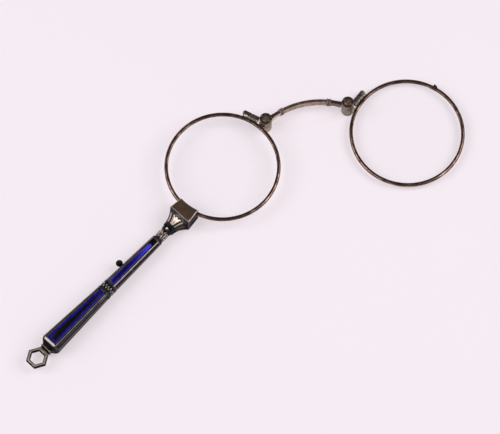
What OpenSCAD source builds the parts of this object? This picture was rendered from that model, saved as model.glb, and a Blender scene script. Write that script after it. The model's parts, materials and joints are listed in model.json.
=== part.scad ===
// A folding lorgnette: a tapered octagonal handle with enamel panels, a fixed lens, and a second
// lens that swings on a sprung two-hinge bridge until it lies under the first, where a catch in the
// handle's head holds it. A slider on the handle's side frees it.
// The origin is the axis of the first hinge, on the plane that the piece rests on. +X runs from the
// first hinge to the second, +Z is up.

/* [Lenses] */
// Distance between the two lens centres when open
lens_spacing = 62; // [58:0.5:68]
// Outer radius of each rim
rim_r = 19; // [17:0.1:21]
// Radial width of the rim wire
rim_w = 1.2; // [0.9:0.05:1.3]
// Height of the rim wire
rim_h = 1.2; // [1.05:0.05:1.5]
// Radius of the rim wire's rounded outside
rim_round = 0.75; // [0.7:0.05:0.9]
// Depth of the groove that holds the glass
groove_d = 0.35; // [0.2:0.05:0.5]
// Width of the groove at its mouth
groove_h = 0.7; // [0.5:0.05:0.85]
// Thickness of a lens at its centre
lens_t = 1.7; // [1.4:0.1:2]
// Height of each rim's middle above or below the mid plane
lens_level = 1.5; // [1.4:0.05:1.7]
// Width of the saw cut that the closing tubes pull shut
rim_split = 0.15; // [0.1:0.05:0.3]

/* [Closing tubes] */
// Angle of the closing tubes above the line between the lens centres
tube_angle = 49.9; // [49.5:0.1:60]
// Length of the pair of closing tubes
tube_l = 5.4; // [4:0.1:5.6]
// Outer radius of a closing tube
tube_r = 0.875; // [0.75:0.025:1]
// Gap between a closing tube and the rim, which the foot fills
tube_gap = 0.3; // [0.1:0.05:0.4]
// Width of the foot under a closing tube
tube_foot_w = 0.9; // [0.6:0.05:1.1]
// Radius of the closing screw
close_screw_r = 0.4; // [0.3:0.05:0.5]
// Radius of the closing screw's head
close_head_r = 0.65; // [0.55:0.05:0.7]
// Length of the closing screw's head
close_head_l = 0.35; // [0.2:0.05:0.5]

/* [Hinges] */
// Height of each hinge from its foot to its top
stack_h = 7.4; // [7.2:0.1:8]
// Outer radius of a hinge knuckle
knuckle_r = 2; // [1.8:0.05:2.1]
// Gap between a rim and a knuckle
hinge_gap = 0.4; // [0.3:0.05:0.8]
// Angle of each hinge above the line between the lens centres
hinge_angle = 36.5; // [34:0.5:38]
// Gap between the two knuckles of a hinge
knuckle_gap = 0.1; // [0.06:0.02:0.2]
// Radius of the hinge screw's shank
pin_r = 0.6; // [0.5:0.05:0.65]
// Running clearance round the shank and the head
run_gap = 0.05; // [0.02:0.01:0.1]
// Radius of the hinge screw's head
pin_head_r = 1.2; // [1:0.05:1.3]
// Height of the hinge screw's head
pin_head_h = 0.5; // [0.4:0.05:0.7]
// How far the head lies below the knuckle's top
pin_head_sink = 0.1; // [0.05:0.05:0.3]
// Width of the screwdriver slots
driver_w = 0.3; // [0.2:0.05:0.4]
// Depth of the screwdriver slots
driver_d = 0.25; // [0.15:0.05:0.3]
// Radius of the well that holds the hinge spring
well_r = 1.35; // [1.3:0.05:1.4]
// Depth of the well that holds the hinge spring
well_h = 2; // [1.8:0.1:2.4]
// Radius of the hinge spring's wire
spring_wire_r = 0.14; // [0.1:0.02:0.16]
// Mean radius of the hinge spring's coil
spring_coil_r = 1; // [0.95:0.05:1.1]
// Turns of the hinge spring
spring_turns = 4; // [3:1:5]
// Width of the arm that joins a knuckle to its rim
arm_w = 2.2; // [1.6:0.1:2.6]

/* [Bridge] */
// Radius of the bridge's arc
bridge_r = 26; // [24:0.5:30]
// Rise of the arc above the line through the two hinges
bridge_rise = 3.9; // [3.4:0.1:4.4]
// Radial width of the bridge strip
bridge_w = 1.1; // [1:0.05:1.3]
// Height of the bridge strip
bridge_h = 3; // [2.8:0.1:3.6]
// Radial width of the slimmer ends of the strip
bridge_end_w = 0.9; // [0.8:0.05:1]
// Height of the slimmer ends of the strip
bridge_end_h = 2.4; // [2.2:0.1:2.7]
// Distance of each collar from the middle of the bridge
collar_x = 8; // [6:0.1:9]
// Length of a collar along the bridge
collar_l = 1.4; // [1:0.1:1.8]
// How far a collar stands proud of the strip
collar_proud = 0.22; // [0.1:0.02:0.35]
// Side clearance where the strip passes the other body's knuckle
bridge_clear = 0.22; // [0.15:0.01:0.4]

/* [Handle case] */
// Angle of the handle to the line between the lens centres
handle_angle = 34.4; // [30:0.2:38]
// Sideways offset of the handle's axis from the first lens centre
handle_offset = 1.87; // [0:0.05:2.2]
// Length of the lower case
lower_l = 24.15; // [20:0.5:30]
// Length of the engraved middle band
band_l = 3.4; // [2:0.2:5]
// Length of the moulding at each end of the band
band_edge_l = 0.35; // [0.2:0.05:0.6]
// How far the mouldings stand proud of the band
band_proud = 0.12; // [0.05:0.01:0.2]
// Length of the upper case
upper_l = 20.8; // [19.8:0.5:26]
// Width of the case at its foot
foot_w = 6.56; // [6:0.1:7.2]
// Height of the case at its foot
foot_h = 7.4; // [6.6:0.1:7.4]
// Width of the front face at the foot
foot_face = 4.74; // [4.4:0.1:5]
// Height of the side face at the foot
foot_side = 4; // [3.4:0.1:4.6]
// Width of the case at the middle band
waist_w = 4.5; // [4.2:0.1:5]
// Height of the case at the middle band
waist_h = 5.4; // [5:0.1:5.8]
// Width of the front face at the middle band
waist_face = 3.1; // [2.9:0.1:3.4]
// Height of the side face at the middle band
waist_side = 2.6; // [2.2:0.1:3]
// Width of the case at its top
top_w = 3.5; // [3.4:0.1:3.9]
// Height of the case at its top
top_h = 3.8; // [3.7:0.1:4.2]
// Width of the front face at the top
top_face = 2.2; // [2:0.1:2.4]
// Height of the side face at the top
top_side = 1.9; // [1.6:0.1:2.2]

/* [Enamel] */
// Depth of the enamel in its recess
enamel_d = 0.35; // [0.2:0.05:0.45]
// Margin of metal at the lower panel's ends
lower_margin = 0.35; // [0.2:0.05:0.6]
// Width of the lower panel at the foot
lower_panel_w0 = 3.55; // [3.2:0.05:4]
// Width of the lower panel at its top
lower_panel_w1 = 2.1; // [1.8:0.05:2.6]
// Width of the plain border round the lower inlay
lower_border = 0.75; // [0.6:0.05:0.85]
// Margin of metal at the upper panel's foot
upper_margin = 0.3; // [0.2:0.05:0.6]
// Length of the upper panel
upper_panel_l = 18.2; // [15:0.2:18.4]
// Width of the upper panel at its foot
upper_panel_w0 = 2; // [1.8:0.05:2.4]
// Width of the upper panel at its round end
upper_panel_w1 = 1; // [0.8:0.05:1.3]
// Length of the dark inlay in the upper panel
upper_inlay_l = 9; // [6:0.5:11]
// Width of the dark inlay in the upper panel
upper_inlay_w = 0.55; // [0.4:0.05:0.7]

/* [End cap and ring] */
// Length of the sloped end cap
cap_l = 1.9; // [1.2:0.1:2.6]
// Width of the end cap where the ring starts
cap_w = 3.5; // [3:0.1:4]
// Height of the end cap where the ring starts
cap_h = 2.8; // [2.2:0.1:3.4]
// Length of the collar under the ring
ring_collar_l = 1; // [0.6:0.1:1.4]
// How far the collar stands proud of the end cap
ring_collar_proud = 0.2; // [0.1:0.05:0.3]
// Distance across the corners of the ring
ring_w = 7.4; // [6.5:0.1:8]
// Width of the ring's bar
ring_bar = 1.15; // [0.8:0.05:1.3]
// Thickness of the ring
ring_t = 1.6; // [1.2:0.1:1.8]
// Width of the ring's bevels
ring_bevel = 0.3; // [0.1:0.05:0.35]

/* [Ferrule and neck] */
// Length of the ferrule
ferrule_l = 5.6; // [4.6:0.2:7]
// Radius of the ferrule's body
ferrule_r = 1.7; // [1.6:0.05:1.8]
// Radius of the rings on the ferrule
ferrule_ring_r = 0.32; // [0.2:0.02:0.4]
// Radius of the small bead on the ferrule
bead_r = 0.45; // [0.35:0.05:0.55]
// Length of the flared neck
neck_l = 5.45; // [5:0.1:7]
// Width of the neck at its narrow end
neck_w0 = 3.7; // [3.5:0.1:4]
// Height of the neck at its narrow end
neck_h0 = 3.7; // [3.5:0.1:4]
// Depth of the flutes on the neck
flute_d = 0.25; // [0.15:0.05:0.3]
// Width of the outer flutes
flute_w = 0.65; // [0.5:0.05:0.8]
// Width of the ribs beside the flutes
flute_rib = 0.3; // [0.2:0.05:0.4]
// Length of plain neck beyond each end of the flutes
flute_end = 0.6; // [0.4:0.1:1]

/* [Catch housing] */
// Distance from the first rim's outer edge to the housing's back
housing_depth = 3.25; // [2.7:0.05:4.5]
// Width of the housing at its back
housing_w0 = 8.1; // [7.8:0.1:8.6]
// Width of the housing at the rim
housing_w1 = 7; // [6.6:0.1:7.4]
// Height of the housing
housing_h = 7; // [6.9:0.1:7.2]
// Width of the housing's bevels
housing_bevel = 0.25; // [0.1:0.05:0.35]
// Height of the slot for the second rim
slot_h = 2; // [1.8:0.05:2.2]
// Clearance behind the catch lug in the slot
slot_gap = 0.2; // [0.15:0.05:0.4]

/* [Catch] */
// Height of the lug on the second rim
lug_h = 0.5; // [0.4:0.05:0.6]
// Width of the lug
lug_w = 1.4; // [1:0.1:1.6]
// Travel of the catch slider
catch_travel = 1.5; // [1:0.1:1.6]
// Radius of the slider rod
rod_r = 0.45; // [0.35:0.05:0.5]
// Sliding clearance round the catch's pieces
slide_gap = 0.05; // [0.03:0.01:0.1]
// Distance from the upper case's top to the button
button_back = 13.5; // [10:0.5:15]
// Radius of the button
button_r = 1.15; // [0.9:0.05:1.3]
// Radius of the button's stem
stem_r = 0.4; // [0.3:0.05:0.45]
// Gap between the button and the case
button_gap = 0.12; // [0.1:0.02:0.4]
// Width of the hook's tip
tip_w = 0.9; // [0.7:0.05:1]
// Length of the hook's block
hook_l = 1.3; // [1:0.1:1.5]
// How far the hook's tip reaches past the lug's outer face
hook_bite = 0.35; // [0.2:0.05:0.4]
// Gap between the hook's tip and the lug
hook_gap = 0.08; // [0.04:0.02:0.15]
// Radius of the return spring's well
return_well_r = 0.9; // [0.8:0.05:1]
// Radius of the return spring's wire
return_wire_r = 0.11; // [0.08:0.01:0.14]
// Mean radius of the return spring's coil
return_coil_r = 0.6; // [0.5:0.05:0.7]
// Turns of the return spring
return_turns = 5; // [4:1:6]
// Length of the return spring, fully pressed
return_l = 2.4; // [2:0.1:3]

/* [Hidden] */
$fn = 64;
cut = 0.02; // how far a cutting tool runs past a face
mid_z = stack_h / 2;
hinge_reach = rim_r + hinge_gap + knuckle_r;
lens_1 = [-hinge_reach * cos(hinge_angle), -hinge_reach * sin(hinge_angle)];
hinge_span = lens_spacing - 2 * hinge_reach * cos(hinge_angle);
lens_2 = [hinge_span - lens_1[0], lens_1[1]];
fold_angle = 90 + asin(hinge_span / 2 / hinge_reach) - hinge_angle;
lens_r = rim_r - rim_w;
lens_edge_t = groove_h;
lens_sag = (lens_t - lens_edge_t) / 2;
lens_curve = (lens_r * lens_r + lens_sag * lens_sag) / (2 * lens_sag);
knuckle_h = (stack_h - knuckle_gap) / 2;
upper_z = knuckle_h + knuckle_gap;
head_floor = stack_h - pin_head_sink - pin_head_h;
bridge_centre = [hinge_span / 2, bridge_rise - bridge_r];
bridge_reach = asin(hinge_span / 2 / bridge_r);
collar_angle = asin(collar_x / bridge_r);

// Places along the handle, measured from the first lens centre, negative toward the ring
neck_s = -rim_r - housing_depth;
ferrule_s = neck_s - neck_l;
case_top_s = ferrule_s - ferrule_l;
band_top_s = case_top_s - upper_l;
band_foot_s = band_top_s - band_l;
waist_s = (band_top_s + band_foot_s) / 2;
case_foot_s = band_foot_s - lower_l;
cap_end_s = case_foot_s - cap_l;
ring_collar_s = cap_end_s - ring_collar_l;
ring_r = ring_w / 2;
ring_s = ring_collar_s - ring_r * cos(30) + cut;
button_s = case_top_s - button_back;

// Radius, about the first hinge, of the wall behind the second rim's path
slot_wall_r = hinge_reach + rim_r + lug_h + slot_gap;
lug_reach = sqrt(pow(rim_r + lug_h, 2) - pow(handle_offset, 2));
lug_bearing = 180 + handle_angle + asin(handle_offset / (rim_r + lug_h));
lug_angle = lug_bearing + 2 * fold_angle;
tip_y = -lug_w / 2 - hook_gap - tip_w;
tip_end_s = -lug_reach + hook_bite;
hook_foot_z = -lens_level - rim_h / 2 + 0.1;
tip_h = rim_h - 0.2;
hook_top_s = -slot_wall_r + hinge_reach - 1.1;
hook_back_s = hook_top_s - hook_l;
rod_foot_s = button_s - 2.4;
return_well_top_s = rod_foot_s + 1;
return_well_foot_s = rod_foot_s - catch_travel - return_l - 2 * slide_gap;
button_y = section_at(button_s)[0] / 2 + button_gap + button_r;

steel = "silver";
gilt = "tan";
dark = "dimgray";

// Width, height, face width and side height of the case at a place along the handle
function mix(a, b, f) = a + (b - a) * f;
function section_at(s) =
    let (foot = [foot_w, foot_h, foot_face, foot_side])
    let (waist = [waist_w, waist_h, waist_face, waist_side])
    let (top = [top_w, top_h, top_face, top_side])
    s < waist_s
        ? mix(foot, waist, (s - case_foot_s) / (waist_s - case_foot_s))
        : mix(waist, top, (s - waist_s) / (case_top_s - waist_s));

// Frames
module at_lens_1() { translate([lens_1[0], lens_1[1], mid_z + lens_level]) children(); }
module at_lens_2() { translate([lens_2[0], lens_2[1], mid_z - lens_level]) children(); }
module at_hinge_2() { translate([hinge_span, 0, 0]) children(); }

// X runs along the handle toward the lens and Z is up from the mid plane
module on_handle() {
    translate([lens_1[0], lens_1[1], mid_z])
        rotate(handle_angle)
            translate([0, -handle_offset, 0])
                children();
}

// Turns an extrusion so that it runs along X, with its plane's axes along Y and Z
module along_x(s, length) {
    translate([s, 0, 0])
        rotate([90, 0, 90])
            linear_extrude(height = length) children();
}

// A box given by its low and high corners
module box(low, high) { translate(low) cube(high - low); }

// One helix of round wire, as a swept tube standing on its own foot
module coil(coil_r, wire_r, turns, height) {
    sides = 6;
    per_turn = 8;
    last = turns * per_turn;
    points = [
        for (i = [0 : last])
            for (k = [0 : sides - 1])
                let (turn = 360 * i / per_turn, round = 360 * k / sides)
                let (reach = coil_r + wire_r * cos(round))
                [
                    reach * cos(turn),
                    reach * sin(turn),
                    wire_r + (height - 2 * wire_r) * i / last + wire_r * sin(round)
                ]
    ];
    skin = [
        for (i = [0 : last - 1])
            for (k = [0 : sides - 1])
                let (a = i * sides + k, b = i * sides + (k + 1) % sides)
                each [[a, b, a + sides], [b, b + sides, a + sides]]
    ];
    foot = [for (k = [1 : sides - 2]) [0, k + 1, k]];
    tips = [for (k = [1 : sides - 2]) [last * sides, last * sides + k, last * sides + k + 1]];
    polyhedron(points = points, faces = concat(skin, foot, tips));
}

// Rims and glass
module rim_section() {
    difference() {
        intersection() {
            translate([rim_r - rim_w, -rim_h / 2]) square([rim_w, rim_h]);
            translate([rim_r - rim_round, 0]) circle(r = rim_round);
        }
        groove_section();
    }
}

module groove_section() {
    polygon([
        [rim_r - rim_w - cut, -groove_h / 2],
        [rim_r - rim_w, -groove_h / 2],
        [rim_r - rim_w + groove_d, 0],
        [rim_r - rim_w, groove_h / 2],
        [rim_r - rim_w - cut, groove_h / 2]
    ]);
}

module rim_solid() { rotate_extrude() rim_section(); }

module rim_cut_at(angle) {
    rotate(angle)
        box([rim_r - rim_w - 1, -rim_split / 2, -rim_h], [rim_r + 1, rim_split / 2, rim_h]);
}

// Half thickness of the glass at a distance from its centre
function glass_z(r) = lens_t / 2 - lens_curve + sqrt(lens_curve * lens_curve - r * r);

module glass() {
    steps = 8;
    top = [for (i = [0 : steps]) let (r = lens_r * i / steps) [r, glass_z(r)]];
    foot = [for (i = [steps : -1 : 0]) let (r = lens_r * i / steps) [r, -glass_z(r)]];
    rotate_extrude() polygon(concat(top, [[lens_r + groove_d, 0]], foot));
}

// Everything that closes a rim is drawn at angle 0 and turned to its place
module closing_tubes() {
    centre_r = rim_r + tube_gap + tube_r;
    difference() {
        union() {
            translate([centre_r, tube_l / 2, 0]) rotate([90, 0, 0]) cylinder(r = tube_r, h = tube_l);
            box(
                [rim_r - rim_w / 2, -tube_l / 2, -tube_foot_w / 2],
                [centre_r, tube_l / 2, tube_foot_w / 2]
            );
        }
        cylinder(r = rim_r - rim_w / 2, h = 4 * tube_r, center = true);
        rim_solid();
        box([rim_r - 1, -rim_split / 2, -tube_r - 1], [rim_r + 3, rim_split / 2, tube_r + 1]);
        translate([centre_r, tube_l, 0]) rotate([90, 0, 0]) cylinder(r = close_screw_r, h = 2 * tube_l);
    }
}

module closing_screw() {
    centre_r = rim_r + tube_gap + tube_r;
    difference() {
        translate([centre_r, tube_l / 2 + close_head_l, 0])
            rotate([90, 0, 0]) {
                cylinder(r = close_head_r, h = close_head_l);
                cylinder(r = close_screw_r, h = tube_l + close_head_l - 0.1);
            }
        box(
            [rim_r, tube_l / 2 + close_head_l - driver_d / 2, -driver_w / 2],
            [centre_r + 2 * close_head_r, tube_l / 2 + close_head_l + 1, driver_w / 2]
        );
    }
}

module rim_1() {
    color(gilt) at_lens_1() difference() { rim_solid(); rim_cut_at(tube_angle); }
}
module lens_1() { color("azure", 0.4) at_lens_1() glass(); }
module closing_tubes_1() { color(gilt) at_lens_1() rotate(tube_angle) closing_tubes(); }
module closing_screw_1() { color(dark) at_lens_1() rotate(tube_angle) closing_screw(); }

module rim_2() {
    color(gilt) at_lens_2() difference() { rim_solid(); rim_cut_at(180 - tube_angle); }
}
module lens_2() { color("azure", 0.4) at_lens_2() glass(); }
module closing_tubes_2() {
    color(gilt) at_lens_2() mirror([1, 0, 0]) rotate(tube_angle) closing_tubes();
}
module closing_screw_2() {
    color(dark) at_lens_2() mirror([1, 0, 0]) rotate(tube_angle) closing_screw();
}

// Ramped tooth on the second rim that the hook holds
module catch_lug() {
    color(gilt) at_lens_2() rotate(lug_angle)
        difference() {
            linear_extrude(height = tip_h, center = true)
                polygon([
                    [rim_r - rim_w / 2, -lug_w / 2],
                    [rim_r + lug_h * 0.2, -lug_w / 2],
                    [rim_r + lug_h, lug_w * 0.1],
                    [rim_r + lug_h, lug_w / 2],
                    [rim_r - rim_w / 2, lug_w / 2]
                ]);
            rim_solid($fn = 256);
            cylinder(r = rim_r - rim_w / 2 + cut, h = 2 * rim_h, center = true);
        }
}

// Hinges
// The upper knuckle has the head's seat, the running bore and the spring's well
module upper_knuckle() {
    difference() {
        translate([0, 0, upper_z]) cylinder(r = knuckle_r, h = knuckle_h);
        translate([0, 0, upper_z - cut]) cylinder(r = pin_r + run_gap, h = knuckle_h);
        translate([0, 0, upper_z - cut]) cylinder(r = well_r, h = well_h + cut);
        translate([0, 0, head_floor - run_gap]) cylinder(r = pin_head_r + run_gap, h = stack_h);
    }
}

// The lower knuckle holds the shank's thread
module lower_knuckle() {
    difference() {
        cylinder(r = knuckle_r, h = knuckle_h);
        translate([0, 0, -cut]) cylinder(r = pin_r, h = stack_h);
    }
}

// The arm from a knuckle to its rim, drawn for a hinge at the origin and a rim to the left
module rim_arm(rim_z) {
    translate([-hinge_reach, 0, rim_z])
        difference() {
            box(
                [rim_r - rim_w / 2, -arm_w / 2, -rim_h / 2],
                [hinge_reach, arm_w / 2, rim_h / 2]
            );
            rim_solid();
            cylinder(r = rim_r - rim_w / 2 + cut, h = 2 * rim_h, center = true);
            translate([hinge_reach, 0, 0]) cylinder(r = knuckle_r - 0.2, h = 2 * rim_h, center = true);
        }
}

module hinge_pin() {
    difference() {
        union() {
            cylinder(r = pin_r, h = head_floor + cut);
            translate([0, 0, head_floor]) cylinder(r = pin_head_r, h = pin_head_h);
        }
        box([-3, -driver_w / 2, head_floor + pin_head_h - driver_d], [3, driver_w / 2, stack_h + 1]);
    }
}

module hinge_spring() {
    translate([0, 0, upper_z + well_h - spring_turns * 0.46])
        coil(spring_coil_r, spring_wire_r, spring_turns, spring_turns * 0.46);
}

module hinge_knuckle_1() {
    color(gilt) {
        upper_knuckle();
        rotate(hinge_angle) rim_arm(mid_z + lens_level);
    }
}
module hinge_pin_1() { color(steel) rotate(70) hinge_pin(); }
module hinge_spring_1() { color(steel) hinge_spring(); }
module hinge_knuckle_2() {
    color(gilt) at_hinge_2() {
        lower_knuckle();
        mirror([1, 0, 0]) rotate(hinge_angle) rim_arm(mid_z - lens_level);
    }
}
module hinge_pin_2() { color(steel) at_hinge_2() rotate(20) hinge_pin(); }
module hinge_spring_2() { color(steel) at_hinge_2() hinge_spring(); }

// Bridge
module arc_strip(width, height, half_angle) {
    translate([bridge_centre[0], bridge_centre[1], mid_z])
        rotate(90 - half_angle)
            rotate_extrude(angle = 2 * half_angle)
                translate([bridge_r - width / 2, -height / 2])
                    square([width, height]);
}

// The slimmer ends run on to the hinge axes and are trimmed there
module bridge_trim() {
    cylinder(r = knuckle_r, h = stack_h);
    translate([0, 0, knuckle_h]) cylinder(r = knuckle_r + bridge_clear, h = stack_h);
    at_hinge_2() {
        cylinder(r = knuckle_r, h = stack_h);
        translate([0, 0, -cut]) cylinder(r = knuckle_r + bridge_clear, h = upper_z + cut);
    }
}

module bridge_arch() {
    color(gilt) difference() {
        union() {
            arc_strip(bridge_w, bridge_h, collar_angle);
            arc_strip(bridge_end_w, bridge_end_h, bridge_reach);
        }
        bridge_trim();
    }
}

module bridge_collars() {
    collar_half = collar_l / bridge_r * 90 / PI;
    color(gilt)
        for (side = [-1, 1])
            difference() {
                translate([bridge_centre[0], bridge_centre[1], mid_z])
                    rotate(90 - side * collar_angle - collar_half)
                        rotate_extrude(angle = 2 * collar_half)
                            translate([
                                bridge_r - bridge_w / 2 - collar_proud,
                                -bridge_h / 2 - collar_proud
                            ])
                                square([bridge_w + 2 * collar_proud, bridge_h + 2 * collar_proud]);
                arc_strip(bridge_w, bridge_h, collar_angle);
                arc_strip(bridge_end_w, bridge_end_h, bridge_reach);
            }
}

module bridge_knuckle_1() { color(gilt) lower_knuckle(); }
module bridge_knuckle_2() { color(gilt) at_hinge_2() upper_knuckle(); }

// Handle case
module octagon(section) {
    w = section[0] / 2;
    h = section[1] / 2;
    face = section[2] / 2;
    side = section[3] / 2;
    polygon([
        [face, h], [w, side], [w, -side], [face, -h],
        [-face, -h], [-w, -side], [-w, side], [-face, h]
    ]);
}

module case_piece(from_s, to_s) {
    hull() {
        along_x(from_s, cut) octagon(section_at(from_s));
        along_x(to_s - cut, cut) octagon(section_at(to_s));
    }
}

// Puts an outline on the case's front or back face, from one place along the handle on
module on_face(from_s, to_s, side) {
    rise = (section_at(from_s)[1] - section_at(to_s)[1]) / 2;
    slope = atan(rise / (to_s - from_s));
    mirror([0, 0, side < 0 ? 1 : 0])
        translate([from_s, 0, section_at(from_s)[1] / 2])
            rotate([0, slope, 0])
                children();
}

module lower_panel_outline(inset) {
    length = lower_l - 2 * lower_margin;
    w0 = lower_panel_w0 / 2 - inset;
    w1 = lower_panel_w1 / 2 - inset;
    polygon([
        [lower_margin + inset, -w0], [lower_margin + length - inset, -w1],
        [lower_margin + length - inset, w1], [lower_margin + inset, w0]
    ]);
}

module upper_panel_outline() {
    round_x = upper_margin + upper_panel_l - upper_panel_w1 / 2;
    polygon([
        [upper_margin, -upper_panel_w0 / 2], [round_x, -upper_panel_w1 / 2],
        [round_x, upper_panel_w1 / 2], [upper_margin, upper_panel_w0 / 2]
    ]);
    translate([round_x, 0]) circle(d = upper_panel_w1);
}

module upper_inlay_outline() {
    from_x = upper_margin + 0.6;
    polygon([
        [from_x, -upper_inlay_w / 2], [from_x + upper_inlay_l, -upper_inlay_w / 5],
        [from_x + upper_inlay_l, upper_inlay_w / 5], [from_x, upper_inlay_w / 2]
    ]);
}

// A sheet of enamel under a face, of the depth given
module sheet(depth) { translate([0, 0, -depth]) linear_extrude(height = depth) children(); }

module lower_recess() {
    for (side = [1, -1])
        on_face(case_foot_s, band_foot_s, side)
            translate([0, 0, -enamel_d]) linear_extrude(height = 1) lower_panel_outline(0);
}

module upper_recess() {
    for (side = [1, -1])
        on_face(band_top_s, case_top_s, side)
            translate([0, 0, -enamel_d]) linear_extrude(height = 1) upper_panel_outline();
}

module handle_lower_case() {
    color(dark) on_handle() difference() {
        case_piece(case_foot_s, band_foot_s);
        lower_recess();
    }
}

module mid_band() {
    color(gilt) on_handle() {
        case_piece(band_foot_s, band_top_s);
        band_moulding(band_foot_s);
        band_moulding(band_top_s - band_edge_l);
    }
}

module band_moulding(s) {
    grow = 2 * band_proud;
    along_x(s, band_edge_l) octagon(section_at(s) + [grow, grow, band_proud, band_proud]);
}

// The rod's bore, the return spring's well and the button's slot open this case
module handle_upper_case() {
    color(dark) on_handle() difference() {
        case_piece(band_top_s, case_top_s);
        upper_recess();
        rod_bore(rod_foot_s, case_top_s + cut);
        translate([return_well_foot_s, 0, 0])
            rotate([0, 90, 0])
                cylinder(r = return_well_r, h = return_well_top_s - return_well_foot_s);
        button_slot();
    }
}

module button_slot() {
    half = stem_r + slide_gap;
    for (place = [button_s, button_s - catch_travel])
        translate([place, 0, 0]) rotate([-90, 0, 0]) cylinder(r = half, h = foot_w);
    box([button_s - catch_travel, 0, -half], [button_s, foot_w, half]);
}

module rod_bore(from_s, to_s) {
    translate([from_s, 0, 0]) rotate([0, 90, 0]) cylinder(r = rod_r + slide_gap, h = to_s - from_s);
}

module enamel_lower(side) {
    on_handle() on_face(case_foot_s, band_foot_s, side) sheet(enamel_d)
        difference() { lower_panel_outline(0); lower_panel_outline(lower_border); }
}
module inlay_lower(side) {
    on_handle() on_face(case_foot_s, band_foot_s, side) sheet(enamel_d)
        lower_panel_outline(lower_border);
}
module enamel_upper(side) {
    on_handle() on_face(band_top_s, case_top_s, side) sheet(enamel_d)
        difference() { upper_panel_outline(); upper_inlay_outline(); }
}
module inlay_upper(side) {
    on_handle() on_face(band_top_s, case_top_s, side) sheet(enamel_d) upper_inlay_outline();
}

module front_enamel_lower() { color("mediumblue") enamel_lower(1); }
module front_inlay_lower() { color("midnightblue") inlay_lower(1); }
module front_enamel_upper() { color("mediumblue") enamel_upper(1); }
module front_inlay_upper() { color("midnightblue") inlay_upper(1); }
module back_enamel_lower() { color("mediumblue") enamel_lower(-1); }
module back_inlay_lower() { color("midnightblue") inlay_lower(-1); }
module back_enamel_upper() { color("mediumblue") enamel_upper(-1); }
module back_inlay_upper() { color("midnightblue") inlay_upper(-1); }

// End cap and ring
module end_cap() {
    color(dark) on_handle() hull() {
        along_x(case_foot_s - cut, cut) octagon(section_at(case_foot_s));
        along_x(cap_end_s, cut) square([cap_w, cap_h], center = true);
    }
}

// Six bevelled bars and the collar that carries them
module ring_eye() {
    flat = ring_t / 2 - ring_bevel;
    color(gilt) on_handle() {
        translate([ring_s, 0, 0])
            rotate(90)
                difference() {
                    union() {
                        cylinder(r = ring_r, h = 2 * flat, center = true, $fn = 6);
                        cylinder(r = ring_r - ring_bevel, h = ring_t, center = true, $fn = 6);
                    }
                    cylinder(r = ring_r - ring_bar / cos(30), h = 2 * ring_t, center = true, $fn = 6);
                }
        difference() {
            box(
                [ring_collar_s, -cap_w / 2 - ring_collar_proud, -cap_h / 2 - ring_collar_proud],
                [cap_end_s, cap_w / 2 + ring_collar_proud, cap_h / 2 + ring_collar_proud]
            );
            for (side = [-1, 1])
                translate([ring_collar_s, 0, side * (cap_h / 2 + ring_collar_proud)])
                    rotate([90, 0, 0]) cylinder(r = 0.4, h = 2 * cap_w, center = true);
        }
    }
}

// Ferrule and neck
module ferrule() {
    leaf_reach = ferrule_l * 0.22;
    color(gilt) on_handle() difference() {
        union() {
            translate([case_top_s, 0, 0]) rotate([0, 90, 0]) cylinder(r = ferrule_r, h = ferrule_l);
            for (part = [0.06, 0.2, 0.9])
                translate([case_top_s + part * ferrule_l, 0, 0])
                    rotate([0, 90, 0])
                        rotate_extrude()
                            translate([ferrule_r, 0]) circle(r = ferrule_ring_r);
            for (turn = [0 : 90 : 270], lean = [-1, 1])
                translate([case_top_s + ferrule_l * 0.55, 0, 0])
                    rotate([turn + 12 * lean, 0, 0])
                        translate([0, 0, ferrule_r - 0.12])
                            rotate([0, 0, 32 * lean])
                                rotate([0, 90, 0])
                                    cylinder(r = 0.3, h = 2 * leaf_reach, center = true);
            for (side = [-1, 1])
                translate([ferrule_s - bead_r, 0, side * (ferrule_r + bead_r / 2)]) sphere(r = bead_r);
        }
        rod_bore(case_top_s - 1, ferrule_s + 1);
        box([ferrule_s, -3, -3], [ferrule_s + 1, 3, 3]);
        box([case_top_s - 1, -3, -3], [case_top_s, 3, 3]);
    }
}

// Radius of the hollow side that flares from one half size to another over the neck's length
function flare_r(low, high) = (neck_l * neck_l + (high - low) * (high - low)) / (2 * (high - low));

// Plan of the flutes on one face of the neck. Its outer flutes follow the face's hollow edges and
// the middle one widens between them
module flute_plan(half, edge_r) {
    intersection() {
        translate([ferrule_s + flute_end, -housing_w0])
            square([neck_l - 2 * flute_end, 2 * housing_w0]);
        difference() {
            square([-3 * neck_s, 3 * housing_w0], center = true);
            for (side = [-1, 1])
                translate([ferrule_s, side * (half + edge_r)]) {
                    circle(r = edge_r + flute_rib);
                    difference() {
                        circle(r = edge_r + 2 * flute_rib + flute_w);
                        circle(r = edge_r + flute_rib + flute_w);
                    }
                }
        }
    }
}

// Cutter for the flutes of one face, as deep below the hollow face at both ends
module flutes(half, edge_r, reach, face_r) {
    intersection() {
        linear_extrude(height = housing_w0) flute_plan(half, edge_r);
        translate([ferrule_s, 0, reach + face_r])
            rotate([90, 0, 0]) cylinder(r = face_r + flute_d, h = 2 * housing_w0, center = true);
    }
}

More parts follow.
